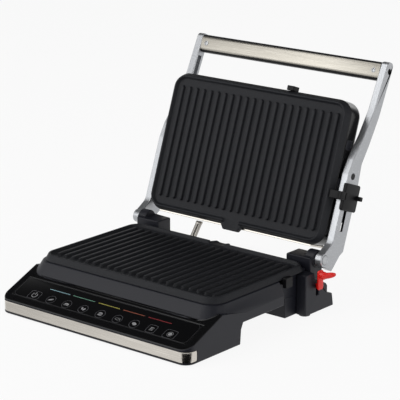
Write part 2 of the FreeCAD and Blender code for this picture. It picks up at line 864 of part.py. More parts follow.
def grill_plate(label):
    """A cast plate: flared wall, sunk field, ribs, drain lug and flat back. Its rim lies at height zero."""
    body = new_body(label)
    rim = rounded_box(
        "-plate_width / 2", "plate_width / 2", "-plate_depth / 2", "plate_depth / 2", "plate_corner"
    )
    flange = rounded_box(
        "-flange_width / 2", "flange_width / 2", "-flange_depth / 2", "flange_depth / 2", "flange_corner"
    )
    loft(body, "z", "-plate_wall", flange, 0, rim)
    back = rounded_box(
        "-flange_width / 2 + plate_back_inset",
        "flange_width / 2 - plate_back_inset",
        "-flange_depth / 2 + plate_back_inset",
        "flange_depth / 2 - plate_back_inset",
        "plate_corner",
    )
    slab(body, "z", f"-({PLATE_BACK})", "-plate_wall", back)
    lug = [
        ("-lug_root / 2", "plate_depth / 2"),
        ("lug_root / 2", "plate_depth / 2"),
        ("lug_root / 2", "flange_depth / 2"),
        ("lug_tip / 2", "flange_depth / 2 + lug_length"),
        ("-lug_tip / 2", "flange_depth / 2 + lug_length"),
        ("-lug_root / 2", "flange_depth / 2"),
    ]
    slab(body, "z", "-plate_wall", "-lug_drop", lug)
    field = rounded_box(
        "-plate_width / 2 + plate_rim_width",
        "plate_width / 2 - plate_rim_width",
        "-plate_depth / 2 + plate_rim_width",
        "plate_depth / 2 - plate_rim_width",
        "(plate_corner - plate_rim_width)",
    )
    cut(body, "z", "-field_drop", "cut_overrun", field)
    mouth = box(
        "-lug_tip / 2 + plate_rim_width",
        "lug_tip / 2 - plate_rim_width",
        "plate_depth / 2 - plate_rim_width - cut_overrun",
        "flange_depth / 2 + lug_length + cut_overrun",
    )
    cut(body, "z", "-field_drop", "cut_overrun", mouth)
    first = "-rib_pitch * (rib_count - 1) / 2"
    rib = [
        (f"{first} - rib_width / 2", "-field_drop"),
        (f"{first} + rib_width / 2", "-field_drop"),
        (f"{first} + rib_top_width / 2", "rib_height - field_drop"),
        (f"{first} - rib_top_width / 2", "rib_height - field_drop"),
    ]
    ridge = slab(body, "y", "-rib_length / 2", "rib_length / 2", rib)
    row = body.newObject("PartDesign::LinearPattern", body.Name + "_ribs")
    row.Originals = [ridge]
    row.Direction = (ridge.Profile[0], ["H_Axis"])
    row.setExpression("Length", bind("rib_pitch * (rib_count - 1)"))
    row.setExpression("Occurrences", bind("rib_count"))
    body.Tip = row
    settle()
    return body


def heater(label):
    """A bent tubular element: two long legs and one turn, in a level plane at height zero."""
    body = new_body(label)
    bend = "heater_spread / 2"
    route = [
        ("-heater_reach", f"-{bend}"),
        (f"heater_reach - {bend}", f"-{bend}"),
        ("heater_reach", 0, bend),
        (f"heater_reach - {bend}", bend, bend),
        ("-heater_reach", bend),
    ]
    spine = sketch_on(body, "z", 0, [route], closed=False)
    section = sketch_on(body, "x", "-heater_reach", [Ring(f"-{bend}", 0, "heater_radius")])
    pipe = body.newObject("PartDesign::AdditivePipe", body.Name + "_tube")
    pipe.Profile = section
    pipe.Spine = spine
    settle()
    return body


def reflector(label):
    """A shallow sheet pan with an upturned lip. Its underside lies at height zero."""
    body = new_body(label)
    edge = ("-pan_width / 2", "pan_width / 2", "-pan_depth / 2", "pan_depth / 2")
    slab(body, "z", 0, "pan_lip", rounded_box(*edge, "pan_corner"))
    inside = rounded_box(
        "-pan_width / 2 + pan_sheet",
        "pan_width / 2 - pan_sheet",
        "-pan_depth / 2 + pan_sheet",
        "pan_depth / 2 - pan_sheet",
        "(pan_corner - pan_sheet)",
    )
    cut(body, "z", "pan_sheet", "pan_lip + cut_overrun", inside)
    return body


def lower_heat():
    """The lower plate with its heater, reflector pan and sensor."""
    plate = grill_plate("lower_plate")
    heat = heater("lower_heating_element")
    pan = reflector("lower_reflector_pan")
    heights = (
        (plate, "plate_rim"),
        (heat, f"plate_rim - ({PLATE_BACK}) - heater_gap - heater_radius"),
        (pan, "pan_level"),
    )
    for piece, height in heights:
        piece.setExpression("Placement.Base.y", bind(f"{PLATE_MIDDLE} - base_depth / 2"))
        piece.setExpression("Placement.Base.z", bind(height))
    sensor = rod(
        "z",
        0,
        PLATE_MIDDLE,
        "pan_level + pan_sheet",
        f"plate_rim - ({PLATE_BACK}) - heater_gap",
        "sensor_radius",
        "lower_sensor",
    )
    on_base(group("lower_temperature_sensor", [sensor]))


REAR_HALF = "(tower_inner - tower_gap)"
ARM_INNER = "arm_gap / 2"
ARM_OUTER = "arm_gap / 2 + arm_thick"
END_SCREW = ("-arm_reach + end_screw_inset", "handle_front + end_screw_rise")
LID_FRONT = "(lid_start + flange_depth)"
LID_LOW = "plate_wall - lid_drop"
LID_TOP = f"{LID_LOW} + lid_tall"
LID_MIDDLE = "-(lid_start + flange_depth / 2)"
HEM_FACE = "(lid_start - hem_gap - hem_thick)"


def span(side, low, high):
    """A stretch along x on the right, or the same stretch mirrored to the left."""
    return (low, high) if side > 0 else (f"-({high})", f"-({low})")


def side_box(side, low, high, near, far):
    """A rectangle of the plan on the right, or mirrored to the left."""
    return box(*span(side, low, high), near, far)


def rear_housing():
    """The box between the towers: front wings up to their legs, the drip tray's bay and a drain above it."""
    body = on_base(new_body("rear_housing"))
    half = REAR_HALF
    lower = box(f"-{half}", half, "rear_front", "tower_rear")
    slab(body, "z", "foot_height", "tray_underside", lower)
    wing = "(leg_inner - tower_gap)"
    wing_end = "(block_front - tower_gap)"
    slab(body, "z", "foot_height", "tray_underside", box(f"-{wing}", wing, "rear_front", wing_end))
    upper = box(f"-{half}", half, "block_front", "tower_rear")
    slab(body, "z", "tray_underside - casing_wall", "rear_top", upper)
    bay = box(
        "-drip_width / 2 - drip_gap", "drip_width / 2 + drip_gap", "foot_height + casing_wall", "bay_top"
    )
    cut(body, "y", "rear_front + casing_wall", "tower_rear + cut_overrun", bay)
    cavity = box(
        f"-{half} + casing_wall",
        f"{half} - casing_wall",
        "block_front + casing_wall",
        "tower_rear - casing_wall",
    )
    cut(body, "z", "bay_top - cut_overrun", "rear_top - casing_wall", cavity)
    drain = box(
        "-drain_width / 2",
        "drain_width / 2",
        "block_front + casing_wall",
        "block_front + casing_wall + drain_depth",
    )
    over = ("rear_top - casing_wall - cut_overrun", "rear_top + cut_overrun")
    cut(body, "z", *over, drain)
    cut(body, "z", *over, Ring("conduit_x", "conduit_y", "conduit_radius + screw_gap"))
    neck = Ring("gland_x", "gland_z", "gland_neck + screw_gap")
    cut(body, "y", "tower_rear - gland_depth - screw_gap", "tower_rear + cut_overrun", neck)
    for side in (-1, 1):
        low, high = span(side, f"{half} - casing_wall - cut_overrun", f"{half} + cut_overrun")
        cut(body, "x", low, high, *tower_screw_rings("screw_radius + screw_gap"))
        hollow = side_box(
            side, half, f"{wing} - casing_wall", "rear_front + casing_wall", f"{wing_end} - casing_wall"
        )
        cut(body, "z", "foot_height - cut_overrun", "tray_underside - casing_wall", hollow)


def tower_screw_rings(radius):
    """The two screw places on a tower's inner wall."""
    return [Ring("tower_screw_y", z, radius) for z in ("tower_screw_low", "tower_screw_high")]


def tower_screws():
    """Screws that tie the rear housing to both towers."""
    screws = []
    seat = f"{REAR_HALF} - casing_wall"
    for side in (-1, 1):
        for ring in tower_screw_rings("screw_radius"):
            head = span(side, f"{seat} - screw_head_tall", seat)
            shank = span(side, seat, f"{seat} + screw_length")
            parts = [
                rod("x", ring.across, ring.up, *head, "screw_head_radius"),
                rod("x", ring.across, ring.up, *shank, "screw_radius"),
            ]
            screws.append(fuse(parts, "tower_screw"))
    on_base(group("tower_screws", screws))


def drip_tray():
    """An open tray that pulls out to the rear."""
    body = on_base(new_body("drip_tray"))
    low = "foot_height + casing_wall + seat_gap"
    near = "tower_rear - drip_depth"
    plan = box("-drip_width / 2", "drip_width / 2", near, "tower_rear")
    slab(body, "z", low, f"{low} + drip_tall", plan)
    inside = box(
        "-drip_width / 2 + drip_wall",
        "drip_width / 2 - drip_wall",
        f"{near} + drip_wall",
        "tower_rear - drip_wall",
    )
    cut(body, "z", f"{low} + drip_wall", f"{low} + drip_tall + cut_overrun", inside)
    pull = box(
        "-drip_pull_width / 2",
        "drip_pull_width / 2",
        "tower_rear - drip_wall / 2",
        "tower_rear + drip_pull_depth",
    )
    slab(body, "z", low, f"{low} + drip_wall", pull)
    lip = box(
        "-drip_pull_width / 2",
        "drip_pull_width / 2",
        "tower_rear + drip_pull_depth - drip_wall",
        "tower_rear + drip_pull_depth",
    )
    slab(body, "z", low, f"{low} + drip_pull_tall", lip)


def hinge_tower(label, side):
    """A tower: an outer leg with room for the arm's heel, an inner block and the hinge barrel."""
    body = on_base(new_body(label))
    rear = [
        ("base_depth", "foot_height"),
        ("base_depth - plinth_lean", "plinth_top"),
        ("tower_rear", "plinth_top + plinth_slope"),
    ]
    heel_room = [
        (f"leg_front + (tower_rear - leg_front) * {depth}", f"leg_top * {height}")
        for depth, height in HEEL_ROOM_SHARES
    ]
    leg = [("leg_front", "foot_height"), *rear, *heel_room[::-1], ("leg_front", "leg_top")]
    slab(body, "x", *span(side, "leg_inner", HALF_BASE), leg)
    top = [("tower_rear", "block_top"), ("block_front", "block_top")]
    core = [("block_front", "foot_height"), *rear, *top]
    slab(body, "x", *span(side, "tower_inner", "block_outer"), core)
    barrel = Ring("hinge_y", "hinge_z", "barrel_radius")
    slab(body, "x", *span(side, "block_outer - barrel_length", f"{ARM_INNER} - side_gap"), barrel)
    bore = Ring("hinge_y", "hinge_z", "hinge_pin_radius + running_gap")
    cut(body, "x", *span(side, "block_outer - hinge_pin_depth", f"{ARM_INNER} + cut_overrun"), bore)
    inside = side_box(
        side,
        "tower_inner + tower_wall",
        "block_outer - tower_wall",
        "block_front + tower_wall",
        "tower_rear - tower_wall",
    )
    cut(body, "z", "foot_height - cut_overrun", "block_top - tower_cap", inside)
    leg_inside = side_box(
        side,
        "leg_inner + tower_wall",
        f"{HALF_BASE} - tower_wall",
        "leg_front + tower_wall",
        "lever_y - lever_width / 2 - tower_wall",
    )
    cut(body, "z", "foot_height - cut_overrun", "leg_top - 2 * tower_wall", leg_inside)
    top_hole = Ring(f"{side} * tower_hole_x", "(block_front + tower_rear) / 2", "tower_hole")
    cut(body, "z", "block_top - tower_wall", "block_top + cut_overrun", top_hole)
    wall = span(side, "tower_inner - cut_overrun", "tower_inner + tower_wall + cut_overrun")
    cut(body, "x", *wall, *tower_screw_rings("screw_radius + screw_gap"))
    return body


def lever_slot(tower):
    """The slot in the right tower's side in which the release lever slides."""
    slot = box(
        "lever_y - lever_gap",
        "lever_y + lever_width / 2 + lever_gap",
        "lever_low - lever_travel - lever_gap",
        "lever_low + lever_stem_tall + lever_gap",
    )
    cut(tower, "x", f"{HALF_BASE} - lever_slot_depth", f"{HALF_BASE} + cut_overrun", slot)


def release_lever():
    """The red lever: a stem in the tower's slot, an upright tab clear of the arm, and a pointed nib."""
    body = on_base(new_body("release_lever"))
    near, far = "lever_y - lever_width / 2", "lever_y + lever_width / 2"
    back = f"{ARM_OUTER} + 2 * lever_gap"
    front = f"{back} + lever_thick"
    slab(body, "x", back, front, box(near, far, "lever_low", "lever_high"))
    round_edges(body, "lever_round", lambda e: runs_along(e, "x"))
    stem = box("lever_y", far, "lever_low", "lever_low + lever_stem_tall")
    slab(body, "x", f"{HALF_BASE} - lever_stem_in", f"{back} + lever_thick / 2", stem)
    root = Ring("lever_y", "nib_z", "nib_radius")
    tip = Ring("lever_y + nib_back", "nib_z + nib_lift", "nib_tip")
    slab(body, "x", front, f"{front} + nib_collar", root)
    loft(body, "x", f"{front} + nib_collar", root, f"{front} + nib_length", tip)


def hinge_pins():
    """One steel pin in each tower, which carries an arm on a bush."""
    pins = []
    bushes = []
    for side in (-1, 1):
        ends = span(side, "block_outer - hinge_pin_depth", ARM_OUTER)
        pins.append(rod("x", "hinge_y", "hinge_z", *ends, "hinge_pin_radius", "hinge_pin"))
        ends = span(side, ARM_INNER, ARM_OUTER)
        ring = doc.addObject("Part::Cut", "hinge_bush")
        ring.Base = rod("x", 0, 0, *ends, "hinge_bush_radius")
        ring.Tool = rod("x", 0, 0, *ends, "hinge_pin_radius + running_gap")
        bushes.append(ring)
    on_base(group("hinge_pins", pins))
    on_arms(group("hinge_bushes", bushes))


def cord_gland():
    """The gland in the rear wall where the mains lead would enter."""
    body = on_base(new_body("cord_gland"))
    middle = ("gland_x", "gland_z")
    slab(body, "y", "tower_rear", "tower_rear + gland_length", Ring(*middle, "gland_radius"))
    neck = Ring(*middle, "gland_neck")
    slab(body, "y", "tower_rear - gland_depth", "tower_rear + gland_length / 2", neck)
    end = "tower_rear + gland_length + cut_overrun"
    cut(body, "y", "tower_rear - gland_depth - cut_overrun", end, Ring(*middle, "gland_bore"))


def end_room(lean):
    """How far a slanting tube's end stays back, so that its rim just clears a flat seat.

    The lean is the cosine of the angle between the tube and the seat's normal.
    """
    return (value("conduit_radius") * math.sqrt(1 - lean * lean) + value("seat_gap")) / lean


def conduit():
    """The wire conduit from the rear housing to the lid, with its ferrule and its grommet."""
    ferrule = doc.addObject("Part::Cut", "ferrule_ring")
    levels = ("rear_top", "rear_top + ferrule_tall")
    ferrule.Base = rod("z", "conduit_x", "conduit_y", *levels, "ferrule_radius")
    ferrule.Tool = rod("z", "conduit_x", "conduit_y", *levels, "conduit_radius + screw_gap")
    on_base(node(ferrule, "conduit_ferrule"))
    grommet = doc.addObject("Part::Cut", "grommet_ring")
    ends = ("-lid_start - lid_wall", f"-{HEM_FACE}")
    grommet.Base = rod("y", "conduit_x", "conduit_behind", *ends, "grommet_radius")
    grommet.Tool = rod("y", "conduit_x", "conduit_behind", *ends, "conduit_radius + screw_gap")
    on_arms(node(grommet, "conduit_grommet"))
    start = FreeCAD.Vector(*[value(f) for f in ("conduit_x", "conduit_y", "rear_top + ferrule_tall")])
    goal = FreeCAD.Vector(value("conduit_x"), *[value(f) for f in opened(f"-{HEM_FACE}", "conduit_behind")])
    way = (goal - start).normalize()
    up = FreeCAD.Vector(0, 0, 1)
    into_lid = FreeCAD.Vector(0, -value("cos(open_angle)"), value("sin(open_angle)"))
    first = end_room(way.dot(up))
    last = end_room(way.dot(into_lid))
    tube = doc.addObject("Part::Cylinder", "conduit_tube")
    tube.setExpression("Radius", bind("conduit_radius"))
    tube.Height = (goal - start).Length - first - last
    front = FreeCAD.Vector(0, value("base_depth") / 2, 0)
    tube.Placement = FreeCAD.Placement(start + way * first - front, FreeCAD.Rotation(up, way))
    node(tube, "cable_conduit")


def across_arm(points):
    """A test that picks out the edges across an arm at some points of its outline."""
    spots = [(value(y), value(z)) for y, z in points]

    def chosen(edge):
        """Whether an edge lies at one of the points."""
        middle = edge.CenterOfMass
        return runs_along(edge, "x") and any(
            math.hypot(middle.y - y, middle.z - z) < value("running_gap") for y, z in spots
        )

    return chosen


def arm(label, side):
    """A cast arm with a hollow inner side, from the hinge to the handle."""
    body = on_arms(new_body(label))
    ends = span(side, ARM_INNER, ARM_OUTER)
    outline = [(f"-arm_reach * {along}", f"arm_rise * {behind}") for along, behind in ARM_OUTLINE_SHARES]
    slab(body, "x", *ends, outline)
    round_edges(body, "arm_bend", across_arm([outline[i] for i in ARM_BENDS]))
    round_edges(body, "arm_tip", across_arm([outline[i] for i in ARM_TIP]))
    slab(body, "x", *ends, Ring(0, 0, "arm_nose"))
    channel = [(f"-arm_reach * {along}", f"arm_rise * {behind}") for along, behind in ARM_CHANNEL_SHARES]
    cut(body, "x", *span(side, f"{ARM_INNER} - cut_overrun", f"{ARM_INNER} + arm_channel"), channel)
    pivot = ("-pivot_along", "pivot_behind")
    slab(body, "x", *ends, Ring(*pivot, "arm_boss"))
    through = span(side, f"{ARM_INNER} - cut_overrun", f"{ARM_OUTER} + cut_overrun")
    cut(body, "x", *through, Ring(0, 0, "hinge_bush_radius + running_gap"))
    cut(body, "x", *through, Ring(*pivot, "pivot_pin_radius + running_gap"))
    cut(body, "x", *through, Ring(*END_SCREW, "screw_radius + screw_gap"))
    sink = span(side, f"{ARM_OUTER} - end_screw_sink", f"{ARM_OUTER} + cut_overrun")
    cut(body, "x", *sink, Ring(*END_SCREW, "screw_head_radius + screw_gap"))
    return body


def slider_slot(body):
    """The slot in the right arm along which the height slider runs."""
    slot = box(
        "-slot_end", "-slot_start", "pivot_behind - slot_width / 2", "pivot_behind + slot_width / 2"
    )
    cut(body, "x", f"{ARM_INNER} - cut_overrun", f"{ARM_OUTER} + cut_overrun", slot)


def height_slider():
    """The slider that sets how far the lid shuts: outer block, stem, stop finger and keeper."""
    body = on_arms(new_body("height_slider"))
    inner = f"{ARM_OUTER} + side_gap"
    outer = f"{inner} + slider_thick"
    slab(body, "x", inner, outer, box("-slider_end", "-slider_start", "slider_front", "slider_rear"))
    round_edges(body, "slider_round", lambda e: runs_along(e, "x"))
    reach = box("-finger_end", "-finger_start", "finger_low", "slider_front + slider_round")
    slab(body, "x", inner, outer, reach)
    finger = box("-finger_end", "-finger_start", "finger_low", "finger_high")
    slab(body, "x", "finger_inner", f"{inner} + slider_thick / 2", finger)
    tab = box("-tab_end", "-tab_start", "tab_front", "tab_rear")
    slab(body, "x", f"{inner} + slider_thick / 2", f"{outer} + tab_out", tab)
    stem_ends = ("-slot_end + side_gap", "-slider_start - slider_round")
    stem = box(
        *stem_ends,
        "pivot_behind - slot_width / 2 + side_gap",
        "pivot_behind + slot_width / 2 - side_gap",
    )
    keep_face = f"{ARM_INNER} + arm_channel - side_gap"
    slab(body, "x", f"{keep_face} - slider_keep", f"{inner} + slider_thick / 2", stem)
    keep = box(
        "-slot_end + side_gap",
        "-slider_keep_end",
        "pivot_behind - slider_keep_width / 2",
        "pivot_behind + slider_keep_width / 2",
    )
    slab(body, "x", f"{keep_face} - slider_keep", keep_face, keep)


def handle():
    """The bar between the arms: steel face plate, dark core and grey rear shell, with their screws."""
    ends = (f"-({ARM_INNER})", ARM_INNER)
    margin = "(face_height - face_plate_height) / 2"
    face_back = "handle_front + face_plate_thick"
    core_back = f"{face_back} + core_thick"
    middle = "-arm_reach + face_height / 2"
    face_screws = [(f"{side} * handle_screw_x", middle) for side in (-1, 1)]
    face = on_arms(new_body("handle_face_plate"))
    plan = box(f"-arm_reach + {margin}", f"-arm_reach + face_height - {margin}", "handle_front", face_back)
    slab(face, "x", *ends, plan)
    holes = [Ring(*spot, "handle_screw_radius + screw_gap") for spot in face_screws]
    cut(face, "z", "handle_front - cut_overrun", f"{face_back} + cut_overrun", *holes)
    core = on_arms(new_body("handle_core"))
    slab(core, "x", *ends, box("-arm_reach", "-arm_reach + face_height", face_back, core_back))
    cut(core, "z", f"{face_back} - cut_overrun", "handle_front + handle_screw_length + screw_gap", *holes)
    for side in (-1, 1):
        depth = span(side, f"{ARM_OUTER} - end_screw_sink - end_screw_length", f"{ARM_INNER} + cut_overrun")
        cut(core, "x", *depth, Ring(*END_SCREW, "screw_radius + screw_gap"))
    shell = on_arms(new_body("handle_rear_shell"))
    rear = f"{core_back} + shell_thick"
    slab(shell, "x", *ends, box("-arm_reach", "-arm_reach + face_height", core_back, rear))
    back = value(rear) - value("seat_gap")
    round_edges(shell, "shell_round", lambda e: runs_along(e, "x") and e.CenterOfMass.z > back)
    screws = []
    for x, y in face_screws:
        head = rod("z", x, y, "handle_front - handle_screw_proud", "handle_front", "handle_screw_head")
        shank = rod(
            "z", x, y, "handle_front", "handle_front + handle_screw_length", "handle_screw_radius"
        )
        screws.append(fuse([head, shank], "face_screw"))
    on_arms(group("handle_face_screws", screws))
    end_screws = []
    for side in (-1, 1):
        seat = f"{ARM_OUTER} - end_screw_sink"
        head = rod("x", *END_SCREW, *span(side, seat, f"{seat} + screw_head_tall"), "screw_head_radius")
        shank = rod("x", *END_SCREW, *span(side, f"{seat} - end_screw_length", seat), "screw_radius")
        end_screws.append(fuse([head, shank], "end_screw"))
    on_arms(group("handle_end_screws", end_screws))


def pivot_pins():
    """The two pins on which the lid floats between the arms."""
    pins = []
    for side in (-1, 1):
        ends = span(side, "lid_width / 2 - lid_wall - pivot_boss_depth", ARM_OUTER)
        pins.append(rod("x", "-pivot_along", "pivot_behind", *ends, "pivot_pin_radius", "pivot_pin"))
    on_arms(group("lid_pivot_pins", pins))


def lid_housing():
    """The lid's casing: a rounded shell, open towards the plate, with pivot bosses in its sides."""
    body = on_arms(new_body("lid_housing"))
    edge = ("-lid_width / 2", "lid_width / 2", f"-{LID_FRONT}", "-lid_start")
    slab(body, "z", LID_LOW, LID_TOP, rounded_box(*edge, "lid_corner"))
    inside = rounded_box(
        "-lid_width / 2 + lid_wall",
        "lid_width / 2 - lid_wall",
        f"-{LID_FRONT} + lid_wall",
        "-lid_start - lid_wall",
        "(lid_corner - lid_wall)",
    )
    cut(body, "z", f"{LID_LOW} - cut_overrun", f"{LID_TOP} - lid_wall", inside)

    def at_height(formula):
        """A test for edges that lie level at a height."""
        return lambda edge: abs(edge.BoundBox.ZMin - value(formula)) + abs(
            edge.BoundBox.ZMax - value(formula)
        ) < value("running_gap")

    round_edges(body, "lid_round - lid_wall", at_height(f"{LID_TOP} - lid_wall"))
    round_edges(body, "lid_round", at_height(LID_TOP))
    pivot = ("-pivot_along", "pivot_behind")
    for side in (-1, 1):
        reach = ("lid_width / 2 - lid_wall - pivot_boss_depth", f"{ARM_INNER} - side_gap")
        slab(body, "x", *span(side, *reach), Ring(*pivot, "pivot_boss"))
        bore = (f"{reach[0]} - cut_overrun", f"{reach[1]} + cut_overrun")
        cut(body, "x", *span(side, *bore), Ring(*pivot, "pivot_pin_radius + running_gap"))
    posts = [
        Ring(f"{side} * post_x", f"{LID_MIDDLE} + {way} * (pan_depth / 2 - post_inset)", "post_radius")
        for side in (-1, 1)
        for way in (-1, 1)
    ]
    slab(body, "z", "upper_pan_level", f"{LID_TOP} - lid_wall / 2", *posts)
    wall = ("-lid_start - lid_wall - cut_overrun", "-lid_start + cut_overrun")
    cut(body, "y", *wall, Ring("conduit_x", "conduit_behind", "grommet_radius + screw_gap"))
    stem = box(
        "upper_clip_left + clip_stem_margin - clip_gap",
        "upper_clip_left + upper_clip_width - clip_stem_margin + clip_gap",
        "clip_stem_lift - clip_gap",
        "clip_stem_lift + clip_stem_tall + clip_gap",
    )
    cut(body, "y", f"-{LID_FRONT} - cut_overrun", f"-{LID_FRONT} + lid_wall + cut_overrun", stem)


def lid_cover():
    """The steel sheet over the lid, turned down in a thick hem along the hinge side."""
    body = on_arms(new_body("lid_cover"))
    top = f"{LID_TOP} + lid_cover_sheet"
    hem_inner = "-lid_start + hem_gap"
    profile = [
        (f"-{LID_FRONT} + lid_cover_inset", LID_TOP),
        (hem_inner, LID_TOP),
        (hem_inner, f"{LID_LOW} + hem_gap"),
        (f"-{HEM_FACE}", f"{LID_LOW} + hem_gap"),
        (f"-{HEM_FACE}", top),
        (f"-{LID_FRONT} + lid_cover_inset", top),
    ]
    slab(body, "x", "-hem_width / 2", "hem_width / 2", profile)
    hole = Ring("conduit_x", "conduit_behind", "grommet_radius + screw_gap")
    cut(body, "y", "-lid_start - cut_overrun", "-lid_start + hem_thick + cut_overrun", hole)
    corner = value(f"-{HEM_FACE}")
    round_edges(
        body,
        "hem_thick",
        lambda e: runs_along(e, "x")
        and abs(e.CenterOfMass.y - corner) + abs(e.CenterOfMass.z - value(top)) < value("running_gap"),
    )


def upper_heat():
    """The upper plate, turned over, with its heater, reflector pan and sensor."""
    back = f"{PLATE_BACK} - lid_drop"
    on_arms(grill_plate("upper_plate"), LID_MIDDLE, "-lid_drop", turned_over=True)
    heat = heater("upper_heating_element")
    on_arms(heat, LID_MIDDLE, f"{back} + heater_gap + heater_radius")
    on_arms(reflector("upper_reflector_pan"), LID_MIDDLE, "upper_pan_level", turned_over=True)
    sensor = rod(
        "z",
        0,
        LID_MIDDLE,
        f"{back} + heater_gap",
        "upper_pan_level - pan_sheet",
        "sensor_radius",
        "upper_sensor",
    )
    on_arms(group("upper_temperature_sensor", [sensor]))


def plate_clips():
    """The clips that hold the plates: one on the lid's front edge, one on the base's right side."""
    upper = on_arms(new_body("upper_plate_clip"))
    face = f"-{LID_FRONT} - clip_gap"
    left, right = "upper_clip_left", "upper_clip_left + upper_clip_width"
    slab(
        upper,
        "y",
        f"{face} - upper_clip_out",
        face,
        box(left, right, "upper_clip_low", "upper_clip_high"),
    )
    round_edges(upper, "clip_round", lambda e: runs_along(e, "y"))
    stem = box(
        f"{left} + clip_stem_margin",
        f"{right} - clip_stem_margin",
        "clip_stem_lift",
        "clip_stem_lift + clip_stem_tall",
    )
    slab(upper, "y", f"{face} - clip_round", f"{face} + clip_stem_length", stem)
    lower = on_base(new_body("lower_plate_clip"))
    face = "flange_width / 2 + clip_gap"
    near, far = "lower_clip_y - lower_clip_width / 2", "lower_clip_y + lower_clip_width / 2"
    slab(
        lower,
        "x",
        face,
        f"{face} + lower_clip_out",
        box(near, far, "lower_clip_low", "lower_clip_high"),
    )
    round_edges(lower, "clip_round", lambda e: runs_along(e, "x"))
    stem = box(
        f"{near} + clip_stem_margin",
        f"{far} - clip_stem_margin",
        "lower_clip_low + clip_stem_margin",
        "lower_clip_low + clip_stem_margin + clip_stem_tall",
    )
    slab(lower, "x", f"{face} - lower_clip_stem", f"{face} + clip_round", stem)


def write_nodes():
    """Checks every object of the document, then writes each sub-part to its own file."""
    settle()
    for thing in doc.Objects:
        if {"Invalid", "Error"} & set(thing.State):
            raise RuntimeError(f"{thing.Label} failed: {thing.State}")
    for thing in NODES:
        if thing.Shape.isNull() or not thing.Shape.isValid():
            raise RuntimeError(f"{thing.Label} has no valid shape")
    os.makedirs("parts", exist_ok=True)
    for thing in NODES:
        thing.Shape.exportStep(f"parts/{thing.Label}.step")
        print(f"{thing.Label}: {len(thing.Shape.Solids)} solids, {thing.Shape.Volume:.0f} cubic mm")


base_housing()
bottom_cover()
cover_screws()
rubber_feet()
front_trim()
control_panel()
lower_heat()
rear_housing()
tower_screws()
drip_tray()
hinge_tower("hinge_tower_left", -1)
lever_slot(hinge_tower("hinge_tower_right", 1))
release_lever()
hinge_pins()
cord_gland()
conduit()
arm("arm_left", -1)
slider_slot(arm("arm_right", 1))
height_slider()
handle()
pivot_pins()
lid_housing()
lid_cover()
upper_heat()
plate_clips()
write_nodes()
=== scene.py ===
import json
import logging
import math
from dataclasses import dataclass
from enum import Enum
from typing import Callable

import bmesh
import bpy
import numpy as np
from mathutils import Matrix

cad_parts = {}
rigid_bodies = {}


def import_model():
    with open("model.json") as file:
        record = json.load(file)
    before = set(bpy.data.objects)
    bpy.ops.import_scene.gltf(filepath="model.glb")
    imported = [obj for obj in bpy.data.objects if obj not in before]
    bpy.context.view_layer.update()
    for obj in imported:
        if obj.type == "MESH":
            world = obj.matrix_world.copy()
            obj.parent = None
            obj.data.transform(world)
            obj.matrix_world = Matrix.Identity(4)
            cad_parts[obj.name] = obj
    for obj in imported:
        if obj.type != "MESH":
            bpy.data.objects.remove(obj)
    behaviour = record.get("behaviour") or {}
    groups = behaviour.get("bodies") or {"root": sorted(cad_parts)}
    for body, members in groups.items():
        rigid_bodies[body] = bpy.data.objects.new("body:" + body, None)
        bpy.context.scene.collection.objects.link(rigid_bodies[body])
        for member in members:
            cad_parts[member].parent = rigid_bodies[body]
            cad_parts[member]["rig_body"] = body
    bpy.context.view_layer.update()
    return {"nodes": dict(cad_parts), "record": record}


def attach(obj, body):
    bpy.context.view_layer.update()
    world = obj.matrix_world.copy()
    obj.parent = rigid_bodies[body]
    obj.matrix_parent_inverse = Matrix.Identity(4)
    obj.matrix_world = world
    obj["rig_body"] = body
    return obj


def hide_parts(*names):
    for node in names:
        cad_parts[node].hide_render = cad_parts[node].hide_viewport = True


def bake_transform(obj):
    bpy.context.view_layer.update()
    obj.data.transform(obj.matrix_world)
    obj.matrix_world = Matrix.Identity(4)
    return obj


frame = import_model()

LOG = logging.getLogger("grill")
MILLIMETRE = 0.001
SLOPE_ANGLE = math.radians(23.4)
OPEN_ANGLE = math.radians(109.54)
# Points nearer than this are one, and faces that differ by less than this angle are one flat face.
MERGE_MM = 0.02
FLAT_ANGLE = math.radians(0.5)
# How far a screw's cross reaches, as a share of its head, and how deep the head is let in.
CROSS_SHARE = 0.62
HEAD_SUNK = 0.3
SLOT_OF_NODE = {part["node"]: part["material_slot"] for part in frame["record"]["subparts"]}

# Short names for types.
Pair = tuple[float, float]
Triple = tuple[float, float, float]
Outline = tuple[np.ndarray, np.ndarray]
Tree = bpy.types.NodeTree
Socket = bpy.types.NodeSocket


class Place(Enum):
    """Where a piece's own axes lie in the row frame: an origin, then three axes, in millimetres."""

    BENCH = ((0, -149, 0), (1, 0, 0), (0, 1, 0), (0, 0, 1))
    SLOPE = (
        (0, -149, 21.4),
        (1, 0, 0),
        (0, math.cos(SLOPE_ANGLE), math.sin(SLOPE_ANGLE)),
        (0, -math.sin(SLOPE_ANGLE), math.cos(SLOPE_ANGLE)),
    )
    LID = (
        (0, 123.3, 70.4),
        (1, 0, 0),
        (0, -math.cos(OPEN_ANGLE), math.sin(OPEN_ANGLE)),
        (0, math.sin(OPEN_ANGLE), math.cos(OPEN_ANGLE)),
    )

    def put(self, points: np.ndarray) -> np.ndarray:
        """Turns points on these axes, in millimetres, into row-frame metres."""
        origin, *axes = np.array(self.value, float)
        return (origin + points @ np.array(axes)) * MILLIMETRE


def linear(code: str) -> tuple[float, float, float, float]:
    """Turns an sRGB hex colour into linear light.

    Args:
        code: Six hex digits after a hash sign.

    Returns:
        Red, green, blue and an alpha of 1.
    """
    shares = np.array([int(code[i : i + 2], 16) for i in (1, 3, 5)]) / 255
    light = np.where(shares <= 0.04045, shares / 12.92, ((shares + 0.055) / 1.055) ** 2.4)
    return (*light.tolist(), 1.0)


